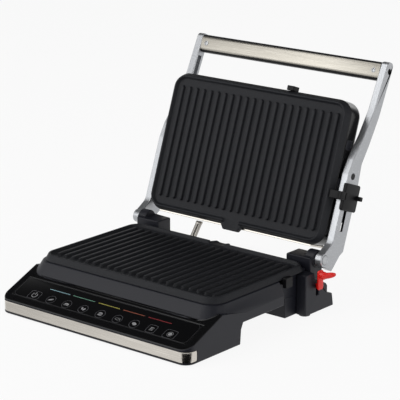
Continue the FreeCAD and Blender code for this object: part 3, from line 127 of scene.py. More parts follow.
def add_node(tree: Tree, kind: str, feeds: dict | None = None, **settings: object) -> bpy.types.Node:
    """Adds one node with its settings and what feeds its sockets.

    Args:
        tree: The node tree that takes it.
        kind: Blender's name for the node's type.
        feeds: Input name or number, to a constant or to the output that feeds it.
        settings: Attributes of the node.

    Returns:
        The new node.
    """
    made = tree.nodes.new(kind)
    for key, setting in settings.items():
        setattr(made, key, setting)
    for key, source in (feeds or {}).items():
        if isinstance(source, Socket):
            tree.links.new(source, made.inputs[key])
        else:
            made.inputs[key].default_value = source
    return made


def emptied(owner: bpy.types.Material | bpy.types.World) -> Tree:
    """Empties the node tree of a material or of the surroundings.

    Args:
        owner: What the tree belongs to.

    Returns:
        The empty tree.
    """
    owner.use_nodes = True
    owner.node_tree.nodes.clear()
    return owner.node_tree


@dataclass(frozen=True)
class Finish:
    """What every finish shares: a material name, a colour and a roughness.

    A finish adds two patterns on Object coordinates: a broad mottle that shifts colour and roughness a little, and
    a fine grain that only bumps the surface.
    """

    name: str
    colour: str
    roughness: float
    shade: str = "#000000"
    metallic: float = 0.0
    grain_mm: float = 1.2
    grain_depth_mm: float = 0.02
    mottle_mm: float = 45.0
    mottle_share: float = 0.25
    stretch: Triple = (1.0, 1.0, 1.0)
    rough_spread: float = 0.06
    coat: float = 0.0
    coat_roughness: float = 0.03
    specular: float = 0.5
    anisotropy: float = 0.0
    bump_strength: float = 0.6

    def material(self) -> bpy.types.Material:
        """Finds this finish's material, or makes it once."""
        return bpy.data.materials.get(self.name) or self.mixed()

    def mixed(self) -> bpy.types.Material:
        """Makes the material from its mottle, its grain and the shader's own constants.

        Returns:
            The new material.
        """
        made = bpy.data.materials.new(self.name)
        tree = emptied(made)
        place = add_node(tree, "ShaderNodeTexCoord").outputs["Object"]
        spread = add_node(tree, "ShaderNodeMapping", {"Vector": place, "Scale": self.stretch}).outputs[0]
        mottle = add_node(
            tree, "ShaderNodeTexNoise", {"Vector": place, "Scale": 1000 / self.mottle_mm, "Detail": 3.0}
        ).outputs["Fac"]
        grain = add_node(
            tree, "ShaderNodeTexNoise", {"Vector": spread, "Scale": 1000 / self.grain_mm, "Detail": 2.0}
        ).outputs["Fac"]
        colour = self.coloured(tree, mottle, grain)
        rough = add_node(
            tree,
            "ShaderNodeMapRange",
            {
                "Value": grain,
                "To Min": self.roughness - self.rough_spread,
                "To Max": self.roughness + self.rough_spread,
            },
        ).outputs[0]
        bump = add_node(
            tree,
            "ShaderNodeBump",
            {"Height": grain, "Distance": self.grain_depth_mm * MILLIMETRE, "Strength": self.bump_strength},
        ).outputs[0]
        shader = add_node(
            tree,
            "ShaderNodeBsdfPrincipled",
            {
                "Base Color": colour,
                "Roughness": rough,
                "Normal": bump,
                "Metallic": self.metallic,
                "Coat Weight": self.coat,
                "Coat Roughness": self.coat_roughness,
                "Anisotropic": self.anisotropy,
                "Specular IOR Level": self.specular,
            },
        ).outputs[0]
        add_node(tree, "ShaderNodeOutputMaterial", {"Surface": shader})
        return made

    def coloured(self, tree: Tree, mottle: Socket, grain: Socket) -> Socket:
        """Shifts the colour a little towards the shade where the mottle is strong.

        Args:
            tree: The material's node tree.
            mottle: The broad pattern.
            grain: The fine pattern.

        Returns:
            The colour's output.
        """
        share = add_node(tree, "ShaderNodeMath", {0: mottle, 1: self.mottle_share}, operation="MULTIPLY")
        return add_node(
            tree,
            "ShaderNodeMix",
            {"Factor": share.outputs[0], "A": linear(self.colour), "B": linear(self.shade)},
            data_type="RGBA",
        ).outputs["Result"]


@dataclass(frozen=True)
class FleckedFinish(Finish):
    """A finish whose fine grain also shows as lighter flecks in the colour."""

    fleck: str = "#4a4b4e"
    fleck_from: float = 0.62
    fleck_fade: float = 0.1

    def coloured(self, tree: Tree, mottle: Socket, grain: Socket) -> Socket:
        """Adds flecks where the grain is at its highest.

        Args:
            tree: The material's node tree.
            mottle: The broad pattern.
            grain: The fine pattern.

        Returns:
            The colour's output.
        """
        ground = super().coloured(tree, mottle, grain)
        peak = add_node(
            tree,
            "ShaderNodeMapRange",
            {"Value": grain, "From Min": self.fleck_from, "From Max": self.fleck_from + self.fleck_fade},
        ).outputs[0]
        return add_node(
            tree,
            "ShaderNodeMix",
            {"Factor": peak, "A": ground, "B": linear(self.fleck)},
            data_type="RGBA",
        ).outputs["Result"]


@dataclass(frozen=True)
class BrushedMetal(FleckedFinish):
    """A metal brushed along the grill's width: lines 0.5 mm apart, wider than real so that they show."""

    metallic: float = 1.0
    grain_mm: float = 0.5
    stretch: Triple = (0.01, 1.0, 1.0)
    anisotropy: float = 0.5
    fleck_from: float = 0.55


@dataclass(frozen=True)
class PrintedInk(Finish):
    """Screen-printed ink on glass: flat, slightly uneven in cover, with a low shine."""

    roughness: float = 0.5
    grain_mm: float = 0.5
    grain_depth_mm: float = 0.004


class FinishChoice(Enum):
    """A finish that is picked by its name."""

    def material(self) -> bpy.types.Material:
        """Finds the picked finish's material, or makes it once."""
        return self.value.material()


class Look(FinishChoice):
    """The grill's finishes, each named for its real material and how its surface was made."""

    # ABS moulded in a spark-eroded tool: a fine satin grain that greys the highlights of the casing.
    SATIN_ABS = Finish(
        "satin_moulded_abs", "#191a22", 0.44, "#13141a", grain_mm=1.1, grain_depth_mm=0.015, specular=0.30
    )
    # The same ABS from a polished tool: near black with clear reflections on the slope and the lid's sides.
    GLOSS_ABS = Finish(
        "gloss_moulded_abs",
        "#070709",
        0.18,
        "#040405",
        grain_mm=9.0,
        grain_depth_mm=0.004,
        rough_spread=0.03,
        specular=0.36,
    )
    # PTFE sprayed and baked on cast aluminium: matte charcoal, a pebbled skin and hard-to-see paler specks.
    NON_STICK = FleckedFinish(
        "non_stick_ptfe_on_cast_aluminium",
        "#1f2024",
        0.56,
        "#17181b",
        grain_mm=0.9,
        grain_depth_mm=0.03,
        specular=0.22,
        fleck="#2f3135",
        fleck_from=0.60,
    )
    # Stainless sheet brushed lengthwise: fine bright lines and a soft streak across the strip and the lid's cover.
    BRUSHED_STEEL = BrushedMetal(
        "brushed_stainless_steel", "#cdc8c0", 0.22, "#b3aea6", grain_depth_mm=0.004, fleck="#ddd8d0"
    )
    # Aluminium strip brushed along the handle: greyer than the steel, with the same fine lines.
    BRUSHED_ALUMINIUM = BrushedMetal(
        "brushed_aluminium", "#a9a59c", 0.32, "#908c84", grain_depth_mm=0.003, fleck="#bab6ad"
    )
    # Silver lacquer with aluminium flake on the cast arms: bright, satin, with a fine sparkle.
    SILVER_LACQUER = FleckedFinish(
        "silver_lacquer_on_cast_aluminium",
        "#acaeb1",
        0.30,
        "#9b9da1",
        metallic=0.80,
        grain_mm=0.8,
        grain_depth_mm=0.008,
        fleck="#cfd1d4",
        fleck_from=0.60,
        coat=0.2,
        coat_roughness=0.2,
    )
    # Toughened glass printed black behind: mirror smooth, with a trace of wiping haze.
    PANEL_GLASS = Finish(
        "black_backed_toughened_glass",
        "#040406",
        0.06,
        "#020203",
        grain_mm=14.0,
        grain_depth_mm=0.001,
        rough_spread=0.03,
    )
    # Black nylon, glass filled, from a polished tool: the handle's core and other dark fittings; on the walls of the
    # arm's slider slot it is painted shade.
    BLACK_NYLON = Finish(
        "black_glass_filled_nylon", "#0e0e10", 0.48, "#09090a", grain_mm=0.8, grain_depth_mm=0.02, specular=0.20
    )
    # Grey ABS with a fine grain: the shell at the back of the handle.
    GREY_ABS = Finish("grey_moulded_abs", "#77787b", 0.42, "#66676b", grain_mm=1.0, grain_depth_mm=0.02)
    # Red ABS from a polished tool: saturated, with a soft gloss.
    RED_ABS = Finish("red_moulded_abs", "#ef1a11", 0.30, "#d3140d", grain_mm=1.4, grain_depth_mm=0.02)
    # Moulded rubber: dull black with a dusty bloom.
    RUBBER = Finish("moulded_rubber", "#151515", 0.75, "#202020", grain_mm=0.9, grain_depth_mm=0.05)
    # Mild steel with bright zinc: small fixings with a slightly blue, uneven shine.
    ZINC_STEEL = Finish(
        "zinc_plated_steel", "#b9bbbd", 0.28, "#9a9ca0", metallic=1.0, grain_mm=0.7, mottle_mm=3.0, mottle_share=0.5
    )
    # Steel blackened by oxide: the dull dark pivots and the arms' end screws.
    BLACK_OXIDE = Finish("black_oxide_steel", "#141416", 0.42, "#0c0c0d", metallic=0.6, grain_mm=0.6)
    # Drawn and polished stainless tube: mirror streaks along its length.
    POLISHED_TUBE = Finish(
        "polished_stainless_tube", "#a19d97", 0.16, "#7b7874", metallic=1.0, grain_mm=0.6, stretch=(1.0, 0.2, 0.2)
    )
    # Aluminised sheet around the heaters: pale, rolled, slightly spangled.
    ALUMINISED_SHEET = Finish(
        "aluminised_steel_sheet",
        "#a8a8a6",
        0.45,
        "#8c8c8a",
        metallic=1.0,
        grain_mm=2.5,
        mottle_mm=8.0,
        mottle_share=0.6,
    )
    # Glass-cloth laminate under green solder mask: a semi-gloss green with the cloth's paler specks.
    LAMINATE = FleckedFinish(
        "solder_masked_laminate", "#145a32", 0.35, "#0e4526", grain_mm=1.0, fleck="#1d7341", fleck_from=0.58
    )


class Ink(FinishChoice):
    """The panel's printing inks: flat, muted colours that the black glass lets stand out."""

    WHITE = PrintedInk("white_screen_ink", "#949496", 0.5, "#7e7e80")
    GREY = PrintedInk("grey_screen_ink", "#4c4c50", 0.5, "#3d3d41")
    DIM = PrintedInk("dim_screen_ink", "#1d1d21", 0.5, "#17171a")
    BLUE = PrintedInk("pale_blue_screen_ink", "#86a9b2", 0.5, "#7799a2")
    GREEN = PrintedInk("green_screen_ink", "#64917d", 0.5, "#57826f")
    YELLOW = PrintedInk("yellow_screen_ink", "#aaa24a", 0.5, "#969040")
    ORANGE = PrintedInk("orange_screen_ink", "#914c36", 0.5, "#80422f")
    RED = PrintedInk("red_screen_ink", "#8a2226", 0.5, "#781d20")


@dataclass
class Shell:
    """Closed surface: points in millimetres and faces by point number."""

    points: np.ndarray
    faces: list[list[int]]

    def plus(self, other: "Shell") -> "Shell":
        """Joins two shells without touching their points.

        Args:
            other: The shell that comes after this one.

        Returns:
            Both in one.
        """
        shift = len(self.points)
        moved = [[i + shift for i in face] for face in other.faces]
        return Shell(np.vstack([self.points, other.points]), self.faces + moved)


def joined(shells: list[Shell]) -> Shell:
    """Joins several shells into one.

    Args:
        shells: At least one shell.

    Returns:
        The joined shell.
    """
    whole = shells[0]
    for shell in shells[1:]:
        whole = whole.plus(shell)
    return whole


def skinned(x: np.ndarray, y: np.ndarray, z: np.ndarray, looped: bool = False) -> Shell:
    """Skins rings of points: quads join ring r to ring r + 1, point i to point i + 1, round and round.

    Args:
        x: First coordinate by ring and by place in the ring; all three are spread to one shape.
        y: Second coordinate.
        z: Third coordinate.
        looped: Whether the last ring joins the first; if not, both ends are closed by a flat face.

    Returns:
        The closed shell.
    """
    rings = np.stack(np.broadcast_arrays(x, y, z), axis=-1)
    count, around = rings.shape[:2]
    ring = np.arange(count if looped else count - 1)[:, None]
    here = np.arange(around)[None, :]
    after = (here + 1) % around
    above = (ring + 1) % count
    quads = np.stack(
        [ring * around + here, ring * around + after, above * around + after, above * around + here], axis=-1
    )
    faces = quads.reshape(-1, 4).tolist()
    if not looped:
        faces.append(np.arange(around)[::-1].tolist())
        faces.append((np.arange(around) + (count - 1) * around).tolist())
    return Shell(rings.reshape(-1, 3), faces)


def rounded_outline(corners: list[Triple], steps: int = 6) -> Outline:
    """Rounds a polygon's corners: each becomes an arc that is tangent to both of its sides.

    Args:
        corners: Across, up and radius of each corner, turning left.
        steps: Spans in each arc.

    Returns:
        Points of the outline and its outward normals, in order.
    """
    data = np.array(corners, float)
    spot, radius = data[:, :2], data[:, 2]
    into = spot - np.roll(spot, 1, axis=0)
    into /= np.linalg.norm(into, axis=1, keepdims=True)
    out = np.roll(into, -1, axis=0)
    turn = np.arctan2(into[:, 0] * out[:, 1] - into[:, 1] * out[:, 0], (into * out).sum(1))
    start = spot - into * (radius * np.tan(np.abs(turn) / 2))[:, None]
    left = np.stack([-into[:, 1], into[:, 0]], axis=1)
    centre = start + left * (radius * np.sign(turn))[:, None]
    angle = turn[:, None] * np.linspace(0, 1, steps + 1)[None, :]
    cos, sin = np.cos(angle), np.sin(angle)
    arm = start - centre
    x = centre[:, None, 0] + arm[:, None, 0] * cos - arm[:, None, 1] * sin
    y = centre[:, None, 1] + arm[:, None, 0] * sin + arm[:, None, 1] * cos
    heading_x = into[:, None, 0] * cos - into[:, None, 1] * sin
    heading_y = into[:, None, 0] * sin + into[:, None, 1] * cos
    points = np.stack([x, y], axis=-1).reshape(-1, 2)
    normals = np.stack([heading_y, -heading_x], axis=-1).reshape(-1, 2)
    return points, normals


def rounded_box(low: Pair, high: Pair, radius: float) -> list[Triple]:
    """Lists the corners of a box with one radius.

    Args:
        low: Lowest corner.
        high: Highest corner.
        radius: Radius of all four corners.

    Returns:
        Corners for rounded_outline.
    """
    return [
        (low[0], low[1], radius),
        (high[0], low[1], radius),
        (high[0], high[1], radius),
        (low[0], high[1], radius),
    ]


def spaced(points: np.ndarray, normals: np.ndarray, gap: float) -> Outline:
    """Spreads points evenly along a closed outline, by its running length.

    Args:
        points: Outline points.
        normals: Their outward normals.
        gap: Distance between the new points.

    Returns:
        New points and normals.
    """
    closed = np.vstack([points, points[:1]])
    facing = np.vstack([normals, normals[:1]])
    length = np.concatenate([[0], np.cumsum(np.linalg.norm(np.diff(closed, axis=0), axis=1))])
    keep = np.concatenate([[True], np.diff(length) > 1e-9])
    at = np.linspace(0, length[-1], round(length[-1] / gap), endpoint=False)
    place = np.stack([np.interp(at, length[keep], closed[keep, k]) for k in range(2)], axis=1)
    out = np.stack([np.interp(at, length[keep], facing[keep, k]) for k in range(2)], axis=1)
    return place, out / np.linalg.norm(out, axis=1, keepdims=True)


def prism(outline: Outline, low: float, high: float, edge: float, steps: int = 3) -> Shell:
    """Carries a straight wall with rounded ends round an outline: the wall draws in by a quarter circle at each end.

    Args:
        outline: Points and outward normals.
        low: Height of the lower face.
        high: Height of the upper face.
        edge: Radius of both rounded edges.
        steps: Spans in each quarter circle.

    Returns:
        A shell on the axes across, up and height.
    """
    points, normals = outline
    turn = np.linspace(0, math.pi / 2, steps + 1)
    inset = edge * (1 - np.sin(turn))
    rise = edge * (1 - np.cos(turn))
    insets = np.concatenate([inset, inset[::-1]])
    heights = np.concatenate([low + rise, (high - rise)[::-1]])
    x, y = points.T[:, None] - insets[:, None] * normals.T[:, None]
    return skinned(x, y, heights[:, None])


def circle(count: int) -> Outline:
    """Gives the cosines and sines of angles that are spread evenly over one turn."""
    angle = np.linspace(0, 2 * math.pi, count, endpoint=False)
    return np.cos(angle), np.sin(angle)


def turned(profile: list[Pair], count: int = 40) -> Shell:
    """Spins a profile of radius and height about the height axis.

    Args:
        profile: Radius and height, from the lower face to the upper one.
        count: Points round the axis.

    Returns:
        The closed shell.
    """
    radius, height = np.array(profile, float).T[..., None]
    cos, sin = circle(count)
    return skinned(radius * cos, radius * sin, height)


def on_axes(shell: Shell, order: tuple[int, int, int], shift: Triple = (0, 0, 0)) -> Shell:
    """Swaps a shell's axes and moves it; the normals are made outward when the piece is made.

    Args:
        shell: What to turn.
        order: Which old axis becomes each new one.
        shift: What is added afterwards.

    Returns:
        The turned shell.
    """
    return Shell(shell.points[:, list(order)] + np.array(shift, float), shell.faces)


def add_piece(
    name: str,
    shell: Shell,
    place: Place,
    finish: FinishChoice,
    body: str | None,
    slot: str,
    stands_for: tuple[str, ...] = (),
    sharp: float = 35.0,
) -> bpy.types.Object:
    """Makes a shell into a piece that rides on a body.

    Args:
        name: The piece's name.
        shell: Its surface.
        place: The axes that its points are on.
        finish: Its finish.
        body: The body that it moves with, or None for a piece that rides on no body.
        slot: The record's material slot.
        stands_for: CAD nodes that it takes the place of.
        sharp: Angle in degrees from which an edge stays sharp.

    Returns:
        The piece.
    """
    mesh = bpy.data.meshes.new(name)
    mesh.from_pydata(place.put(shell.points).tolist(), [], shell.faces)
    return settled(mesh, (finish,), body, slot, stands_for, sharp, outward=True)


def settled(
    mesh: bpy.types.Mesh,
    finishes: tuple[FinishChoice, ...],
    body: str | None,
    slot: str,
    stands_for: tuple[str, ...],
    sharp: float,
    outward: bool = False,
) -> bpy.types.Object:
    """Smooths a mesh, gives it its finishes and hangs it on its body.

    Args:
        mesh: The finished mesh, in row-frame metres.
        finishes: One finish for each material number.
        body: The body that it moves with, or None for a piece that rides on no body.
        slot: The record's material slot.
        stands_for: CAD nodes that it takes the place of.
        sharp: Angle in degrees from which an edge stays sharp.
        outward: Whether its normals still have to be turned outward.

    Returns:
        The piece.
    """
    if outward:
        work = bmesh.new()
        work.from_mesh(mesh)
        bmesh.ops.recalc_face_normals(work, faces=work.faces)
        work.to_mesh(mesh)
        work.free()
    mesh.shade_smooth()
    mesh.set_sharp_from_angle(angle=math.radians(sharp))
    for finish in finishes:
        mesh.materials.append(finish.material())
    piece = bpy.data.objects.new(mesh.name, mesh)
    bpy.context.scene.collection.objects.link(piece)
    if body:
        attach(piece, body)
    if stands_for:
        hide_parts(*stands_for)
    LOG.info("%s: %d faces on %s", piece.name, len(mesh.polygons), body or "two bodies")
    return piece


def soften(
    node: str,
    edge: float,
    finishes: tuple[FinishChoice, ...],
    choose: Callable[[np.ndarray, np.ndarray], np.ndarray] | None = None,
    sharp: float = 30.0,
    spans: int = 3,
) -> bpy.types.Object:
    """Makes a smooth copy of a CAD node: facets joined into flat faces, then its sharp edges rounded.

    Args:
        node: The CAD node that the copy takes the place of.
        edge: Radius of the rounded edges in millimetres, or 0 for none.
        finishes: One finish for each material number.
        choose: Gives a material number for each face from centres (mm, row frame) and normals.
        sharp: Angle in degrees from which an edge is rounded.
        spans: Spans across each rounded edge.

    Returns:
        The piece.
    """
    source = frame["nodes"][node]
    mesh = bpy.data.meshes.new(f"{node}_soft")
    work = bmesh.new()
    work.from_mesh(source.data)
    bmesh.ops.remove_doubles(work, verts=work.verts, dist=MERGE_MM * MILLIMETRE)
    bmesh.ops.dissolve_limit(work, angle_limit=FLAT_ANGLE, verts=work.verts, edges=work.edges)
    work.to_mesh(mesh)
    work.free()
    if choose:
        count = len(mesh.polygons)
        centres, normals = np.empty(count * 3, np.float32), np.empty(count * 3, np.float32)
        mesh.polygons.foreach_get("center", centres)
        mesh.polygons.foreach_get("normal", normals)
        numbers = choose(centres.reshape(-1, 3) / MILLIMETRE, normals.reshape(-1, 3))
        mesh.polygons.foreach_set("material_index", numbers.astype(np.int32))
    piece = settled(mesh, finishes, source["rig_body"], SLOT_OF_NODE[node], (node,), sharp)
    if edge:
        bevel = piece.modifiers.new("rounded_edges", "BEVEL")
        bevel.width = edge * MILLIMETRE
        bevel.segments = spans
        bevel.limit_method = "ANGLE"
        bevel.angle_limit = math.radians(sharp)
        bevel.use_clamp_overlap = False
        bevel.harden_normals = True
    return piece


def dress(finish: Look, *nodes: str) -> None:
    """Gives CAD nodes whose shape stays a finish.

    Args:
        finish: The finish.
        nodes: The nodes' names.
    """
    for node in nodes:
        materials = frame["nodes"][node].data.materials
        materials.clear()
        materials.append(finish.material())
        LOG.info("%s: kept, %s", node, finish.value.name)


def facing(spot: np.ndarray, back: np.ndarray) -> Matrix:
    """Stands a camera or lamp upright: it looks against its back axis, and cross products give its right and up.

    Args:
        spot: Its place in metres.
        back: Which way its back points.

    Returns:
        Its matrix.
    """
    back = back / np.linalg.norm(back)
    right = np.cross((0, 0, 1), back)
    right /= np.linalg.norm(right)
    turn = np.eye(4)
    turn[:3, :3] = np.stack([right, np.cross(back, right), back], axis=1)
    turn[:3, 3] = spot
    return Matrix(turn.tolist())


@dataclass
class Studio:
    """White floor and surroundings, soft lamps and the camera at the photograph's angle."""

    eye_mm: Triple = (1505.2, -1740.4, 805.0)
    back: Triple = (0.61564, -0.73878, 0.27421)
    lens_mm: float = 167.21
    sensor_mm: float = 36.0
    clip_m: float = 20.0
    floor_m: float = 8.0
    floor_colour: str = "#f4f4f4"
    # How much of the floor is an even white to the camera and to reflections; the rest keeps the shadow.
    floor_glow: float = 0.91
    # Heights of a direction between which the white of the surroundings fades, and what is left overhead.
    fade: Pair = (0.20, 0.62)
    ceiling: float = 0.06
    # Name, place in metres, width, height and power in watts of each soft lamp; all of them face the grill's middle.
    lamps: tuple[tuple[str, Triple, float, float, float], ...] = (
        ("key_softbox", (-1.9, -2.2, 1.5), 3.0, 2.4, 22.0),
        ("front_softbox", (0.7, -2.3, 1.7), 1.6, 1.2, 7.0),
        ("top_softbox", (-0.5, -0.7, 2.3), 1.4, 1.4, 8.0),
        ("rim_softbox", (1.4, 0.75, 2.1), 1.1, 1.1, 4.0),
        ("right_fill", (2.2, -0.3, 1.0), 1.2, 1.2, 5.0),
        ("rear_fill", (-0.4, 2.4, 1.2), 1.4, 1.0, 5.0),
        ("edge_card", (-0.50, -0.97, 0.74), 0.6, 0.5, 1.1),
        ("upper_edge_card", (-0.50, -0.42, 1.03), 0.5, 0.4, 0.9),
    )
    middle_m: Triple = (0.0, 0.03, 0.12)
    card_lift_m: float = 0.0004
    # Name, glow at the left and right edge, and corners in metres of the floor cards: a black one that the steel
    # strip's right bend mirrors as a dark band, and a grey one that shades the strip towards its left end.
    cards: tuple[tuple[str, Pair, tuple[Pair, ...]], ...] = (
        (
            "black_card",
            (0.004, 0.004),
            ((0.150, -0.149), (0.150, -0.45), (0.45, -0.45), (0.45, -0.09), (0.159, -0.141)),
        ),
        ("grey_card", (0.68, 1.0), ((-0.22, -0.149), (-0.22, -0.45), (0.10, -0.45), (0.10, -0.149))),
    )

    def build(self) -> None:
        """Sets up camera, floor, cards, lamps and surroundings."""
        bpy.context.scene.view_settings.view_transform = "Standard"
        self.add_camera()
        self.add_floor()
        self.add_cards()
        self.add_lamps()
        self.add_surroundings()

    def add_camera(self) -> None:
        """Places the camera and makes it the scene's own."""
        data = bpy.data.cameras.new("camera")
        data.lens, data.sensor_width, data.clip_end = self.lens_mm, self.sensor_mm, self.clip_m
        camera = bpy.data.objects.new("camera", data)
        camera.matrix_world = facing(np.array(self.eye_mm) * MILLIMETRE, np.array(self.back))
        bpy.context.scene.collection.objects.link(camera)
        bpy.context.scene.camera = camera

    def lay(self, name: str, corners: tuple[Pair, ...], lift: float, paper: bpy.types.Material) -> bpy.types.Object:
        """Lays one flat sheet of the set.

        Args:
            name: Its name.
            corners: Its corners in metres, in order.
            lift: Its height in metres.
            paper: Its material.

        Returns:
            The sheet.
        """
        mesh = bpy.data.meshes.new(name)
        mesh.from_pydata([(x, y, lift) for x, y in corners], [], [tuple(range(len(corners)))])
        mesh.materials.append(paper)
        sheet = bpy.data.objects.new(name, mesh)
        bpy.context.scene.collection.objects.link(sheet)
        return sheet

    def add_floor(self) -> None:
        """Lays a pale floor that keeps the grill's shadow and reads as white where the camera sees it."""
        made = bpy.data.materials.new("white_paper_sweep")
        tree = emptied(made)
        paper = add_node(tree, "ShaderNodeBsdfDiffuse", {"Color": linear(self.floor_colour)}).outputs[0]
        glow = add_node(tree, "ShaderNodeEmission", {"Strength": 1.0}).outputs[0]
        path = add_node(tree, "ShaderNodeLightPath").outputs
        seen = path["Is Camera Ray"]
        for ray in ("Is Glossy Ray", "Is Transmission Ray"):
            seen = add_node(tree, "ShaderNodeMath", {0: seen, 1: path[ray]}, operation="MAXIMUM").outputs[0]
        share = add_node(tree, "ShaderNodeMath", {0: seen, 1: self.floor_glow}, operation="MULTIPLY").outputs[0]
        both = add_node(tree, "ShaderNodeMixShader", {0: share, 1: paper, 2: glow}).outputs[0]
        add_node(tree, "ShaderNodeOutputMaterial", {"Surface": both})
        half = self.floor_m / 2
        self.lay("floor", ((-half, -half), (half, -half), (half, half), (-half, half)), 0.0, made)

    def add_cards(self) -> None:
        """Lays the cards, whose glow runs evenly from left to right; only reflections see them."""
        for name, (left, right), corners in self.cards:
            made = bpy.data.materials.new(f"{name}_paper")
            tree = emptied(made)
            place = add_node(tree, "ShaderNodeTexCoord").outputs["Object"]
            across = add_node(tree, "ShaderNodeSeparateXYZ", {0: place}).outputs["X"]
            low, high = min(x for x, _ in corners), max(x for x, _ in corners)
            glow = add_node(
                tree,
                "ShaderNodeMapRange",
                {"Value": across, "From Min": low, "From Max": high, "To Min": left, "To Max": right},
            ).outputs[0]
            shader = add_node(tree, "ShaderNodeEmission", {"Strength": glow}).outputs[0]
            add_node(tree, "ShaderNodeOutputMaterial", {"Surface": shader})
            card = self.lay(name, corners, self.card_lift_m, made)
            card.visible_camera = card.visible_diffuse = card.visible_shadow = False

    def add_lamps(self) -> None:
        """Hangs each soft lamp at its place, facing the middle of the grill."""
        for name, spot, width, height, power in self.lamps:
            data = bpy.data.lights.new(name, "AREA")
            data.shape = "RECTANGLE"
            data.size, data.size_y, data.energy = width, height, power
            lamp = bpy.data.objects.new(name, data)
            lamp.matrix_world = facing(np.array(spot), np.array(spot) - np.array(self.middle_m))
            bpy.context.scene.collection.objects.link(lamp)

    def add_surroundings(self) -> None:
        """Surrounds the grill with white near the horizon, fading to a dim ceiling; the camera sees only white."""
        world = bpy.data.worlds.new("surroundings")
        tree = emptied(world)
        way = add_node(tree, "ShaderNodeTexCoord").outputs["Generated"]
        height = add_node(tree, "ShaderNodeSeparateXYZ", {0: way}).outputs["Z"]
        start, end = self.fade
        dim = add_node(
            tree,
            "ShaderNodeMapRange",
            {"Value": height, "From Min": start, "From Max": end, "To Min": 1.0, "To Max": self.ceiling},
            interpolation_type="SMOOTHSTEP",
        ).outputs[0]
        path = add_node(tree, "ShaderNodeLightPath").outputs
        strength = path["Is Camera Ray"]
        for other in (path["Is Transmission Ray"], dim):
            strength = add_node(tree, "ShaderNodeMath", {0: strength, 1: other}, operation="MAXIMUM").outputs[0]
        light = add_node(tree, "ShaderNodeBackground", {"Color": (1, 1, 1, 1), "Strength": strength}).outputs[0]
        add_node(tree, "ShaderNodeOutputWorld", {"Surface": light})
        bpy.context.scene.world = world


@dataclass
class Casing:
    """Base: softened housing, towers and rear, steel strip, feet and what is under them."""

    half_width: float = 159.2
    front_corner: float = 14.0
    housing_edge: float = 1.3
    # How nearly a face looks along the slope's normal, and how far back it may lie, to be part of the slope.
    slope_share: float = 0.97
    slope_back: float = -70.0
    strip_low: float = 4.8
    strip_tall: float = 13.7
    strip_thick: float = 1.2
    strip_wrap: float = 18.0
    strip_crown: float = 0.12
    strip_roll: float = 0.3
    foot_radius: float = 7.5
    # Distance out from a foot's radius and height of its section, from the tread up.
    foot_section: tuple[Pair, ...] = ((-3.0, 0.0), (-1.0, 0.0), (-0.3, 0.3), (0.0, 0.9), (0.0, 2.0))
    feet: tuple[Pair, ...] = ((112.0, 24.0), (-112.0, 24.0), (150.6, 246.0), (-150.6, 246.0))
    # Node, radius of the rounded edges and finish of the other mouldings.
    mouldings: tuple[tuple[str, float, Look], ...] = (
        ("hinge_tower_left", 1.4, Look.SATIN_ABS),
        ("hinge_tower_right", 1.4, Look.SATIN_ABS),
        ("rear_housing", 0.8, Look.SATIN_ABS),
        ("drip_tray", 0.5, Look.BLACK_NYLON),
        ("lower_plate_clip", 0.8, Look.BLACK_NYLON),
    )

    def build(self) -> None:
        """Builds and dresses the whole base."""
        soften("base_housing", self.housing_edge, (Look.SATIN_ABS, Look.GLOSS_ABS), self.on_slope)
        for node, edge, look in self.mouldings:
            soften(node, edge, (look,))
        add_piece(
            "front_steel_strip",
            self.strip(),
            Place.BENCH,
            Look.BRUSHED_STEEL,
            "base",
            "brushed_trim",
            ("front_trim_strip",),
        )
        add_piece(
            "rubber_feet_soft", self.foot_set(), Place.BENCH, Look.RUBBER, "base", "foot_rubber", ("rubber_feet",)
        )
        dress(Look.SATIN_ABS, "base_bottom_cover")
        dress(Look.ZINC_STEEL, "base_cover_screws", "tower_screws", "hinge_pins", "conduit_ferrule")
        dress(Look.RUBBER, "cord_gland")
        dress(Look.LAMINATE, "touch_board", "power_board")
        dress(Look.ALUMINISED_SHEET, "lower_reflector_pan", "lower_heating_element", "lower_temperature_sensor")

    def on_slope(self, centres: np.ndarray, normals: np.ndarray) -> np.ndarray:
        """Picks the gloss finish for faces that look along the slope's normal."""
        slope = np.array(Place.SLOPE.value[-1])
        return (normals @ slope > self.slope_share) & (centres[:, 1] < self.slope_back)

    def strip(self) -> Shell:
        """Carries a thin crowned section round the front: along the left side, the front and the right side.

        Returns:
            The steel strip.
        """
        bend = np.linspace(0, math.pi / 2, 17)
        r, w = self.front_corner, self.half_width
        left = np.stack([-w + r - r * np.cos(bend), r - r * np.sin(bend)], axis=1)
        out_left = np.stack([-np.cos(bend), -np.sin(bend)], axis=1)
        mirror = np.array([-1.0, 1.0])
        path = np.vstack([[(-w, self.strip_wrap)], left, left[::-1] * mirror, [(w, self.strip_wrap)]])
        out = np.vstack([[(-1.0, 0.0)], out_left, out_left[::-1] * mirror, [(1.0, 0.0)]])
        share = np.linspace(-1, 1, 9)
        face = self.strip_crown * share**2 + self.strip_roll * np.abs(share) ** 12
        depth = np.concatenate([face, [self.strip_thick, self.strip_thick]])
        low, high = self.strip_low, self.strip_low + self.strip_tall
        height = np.concatenate([low + self.strip_tall / 2 + share * self.strip_tall / 2, [high, low]])
        x, y = path.T[..., None] - out.T[..., None] * depth
        return skinned(x, y, height)

    def foot_set(self) -> Shell:
        """Spins one foot with a rounded tread and repeats it at four places.

        Returns:
            All four feet.
        """
        foot = turned([(self.foot_radius + out, up) for out, up in self.foot_section])
        return joined([on_axes(foot, (0, 1, 2), (x, y, 0)) for x, y in self.feet])


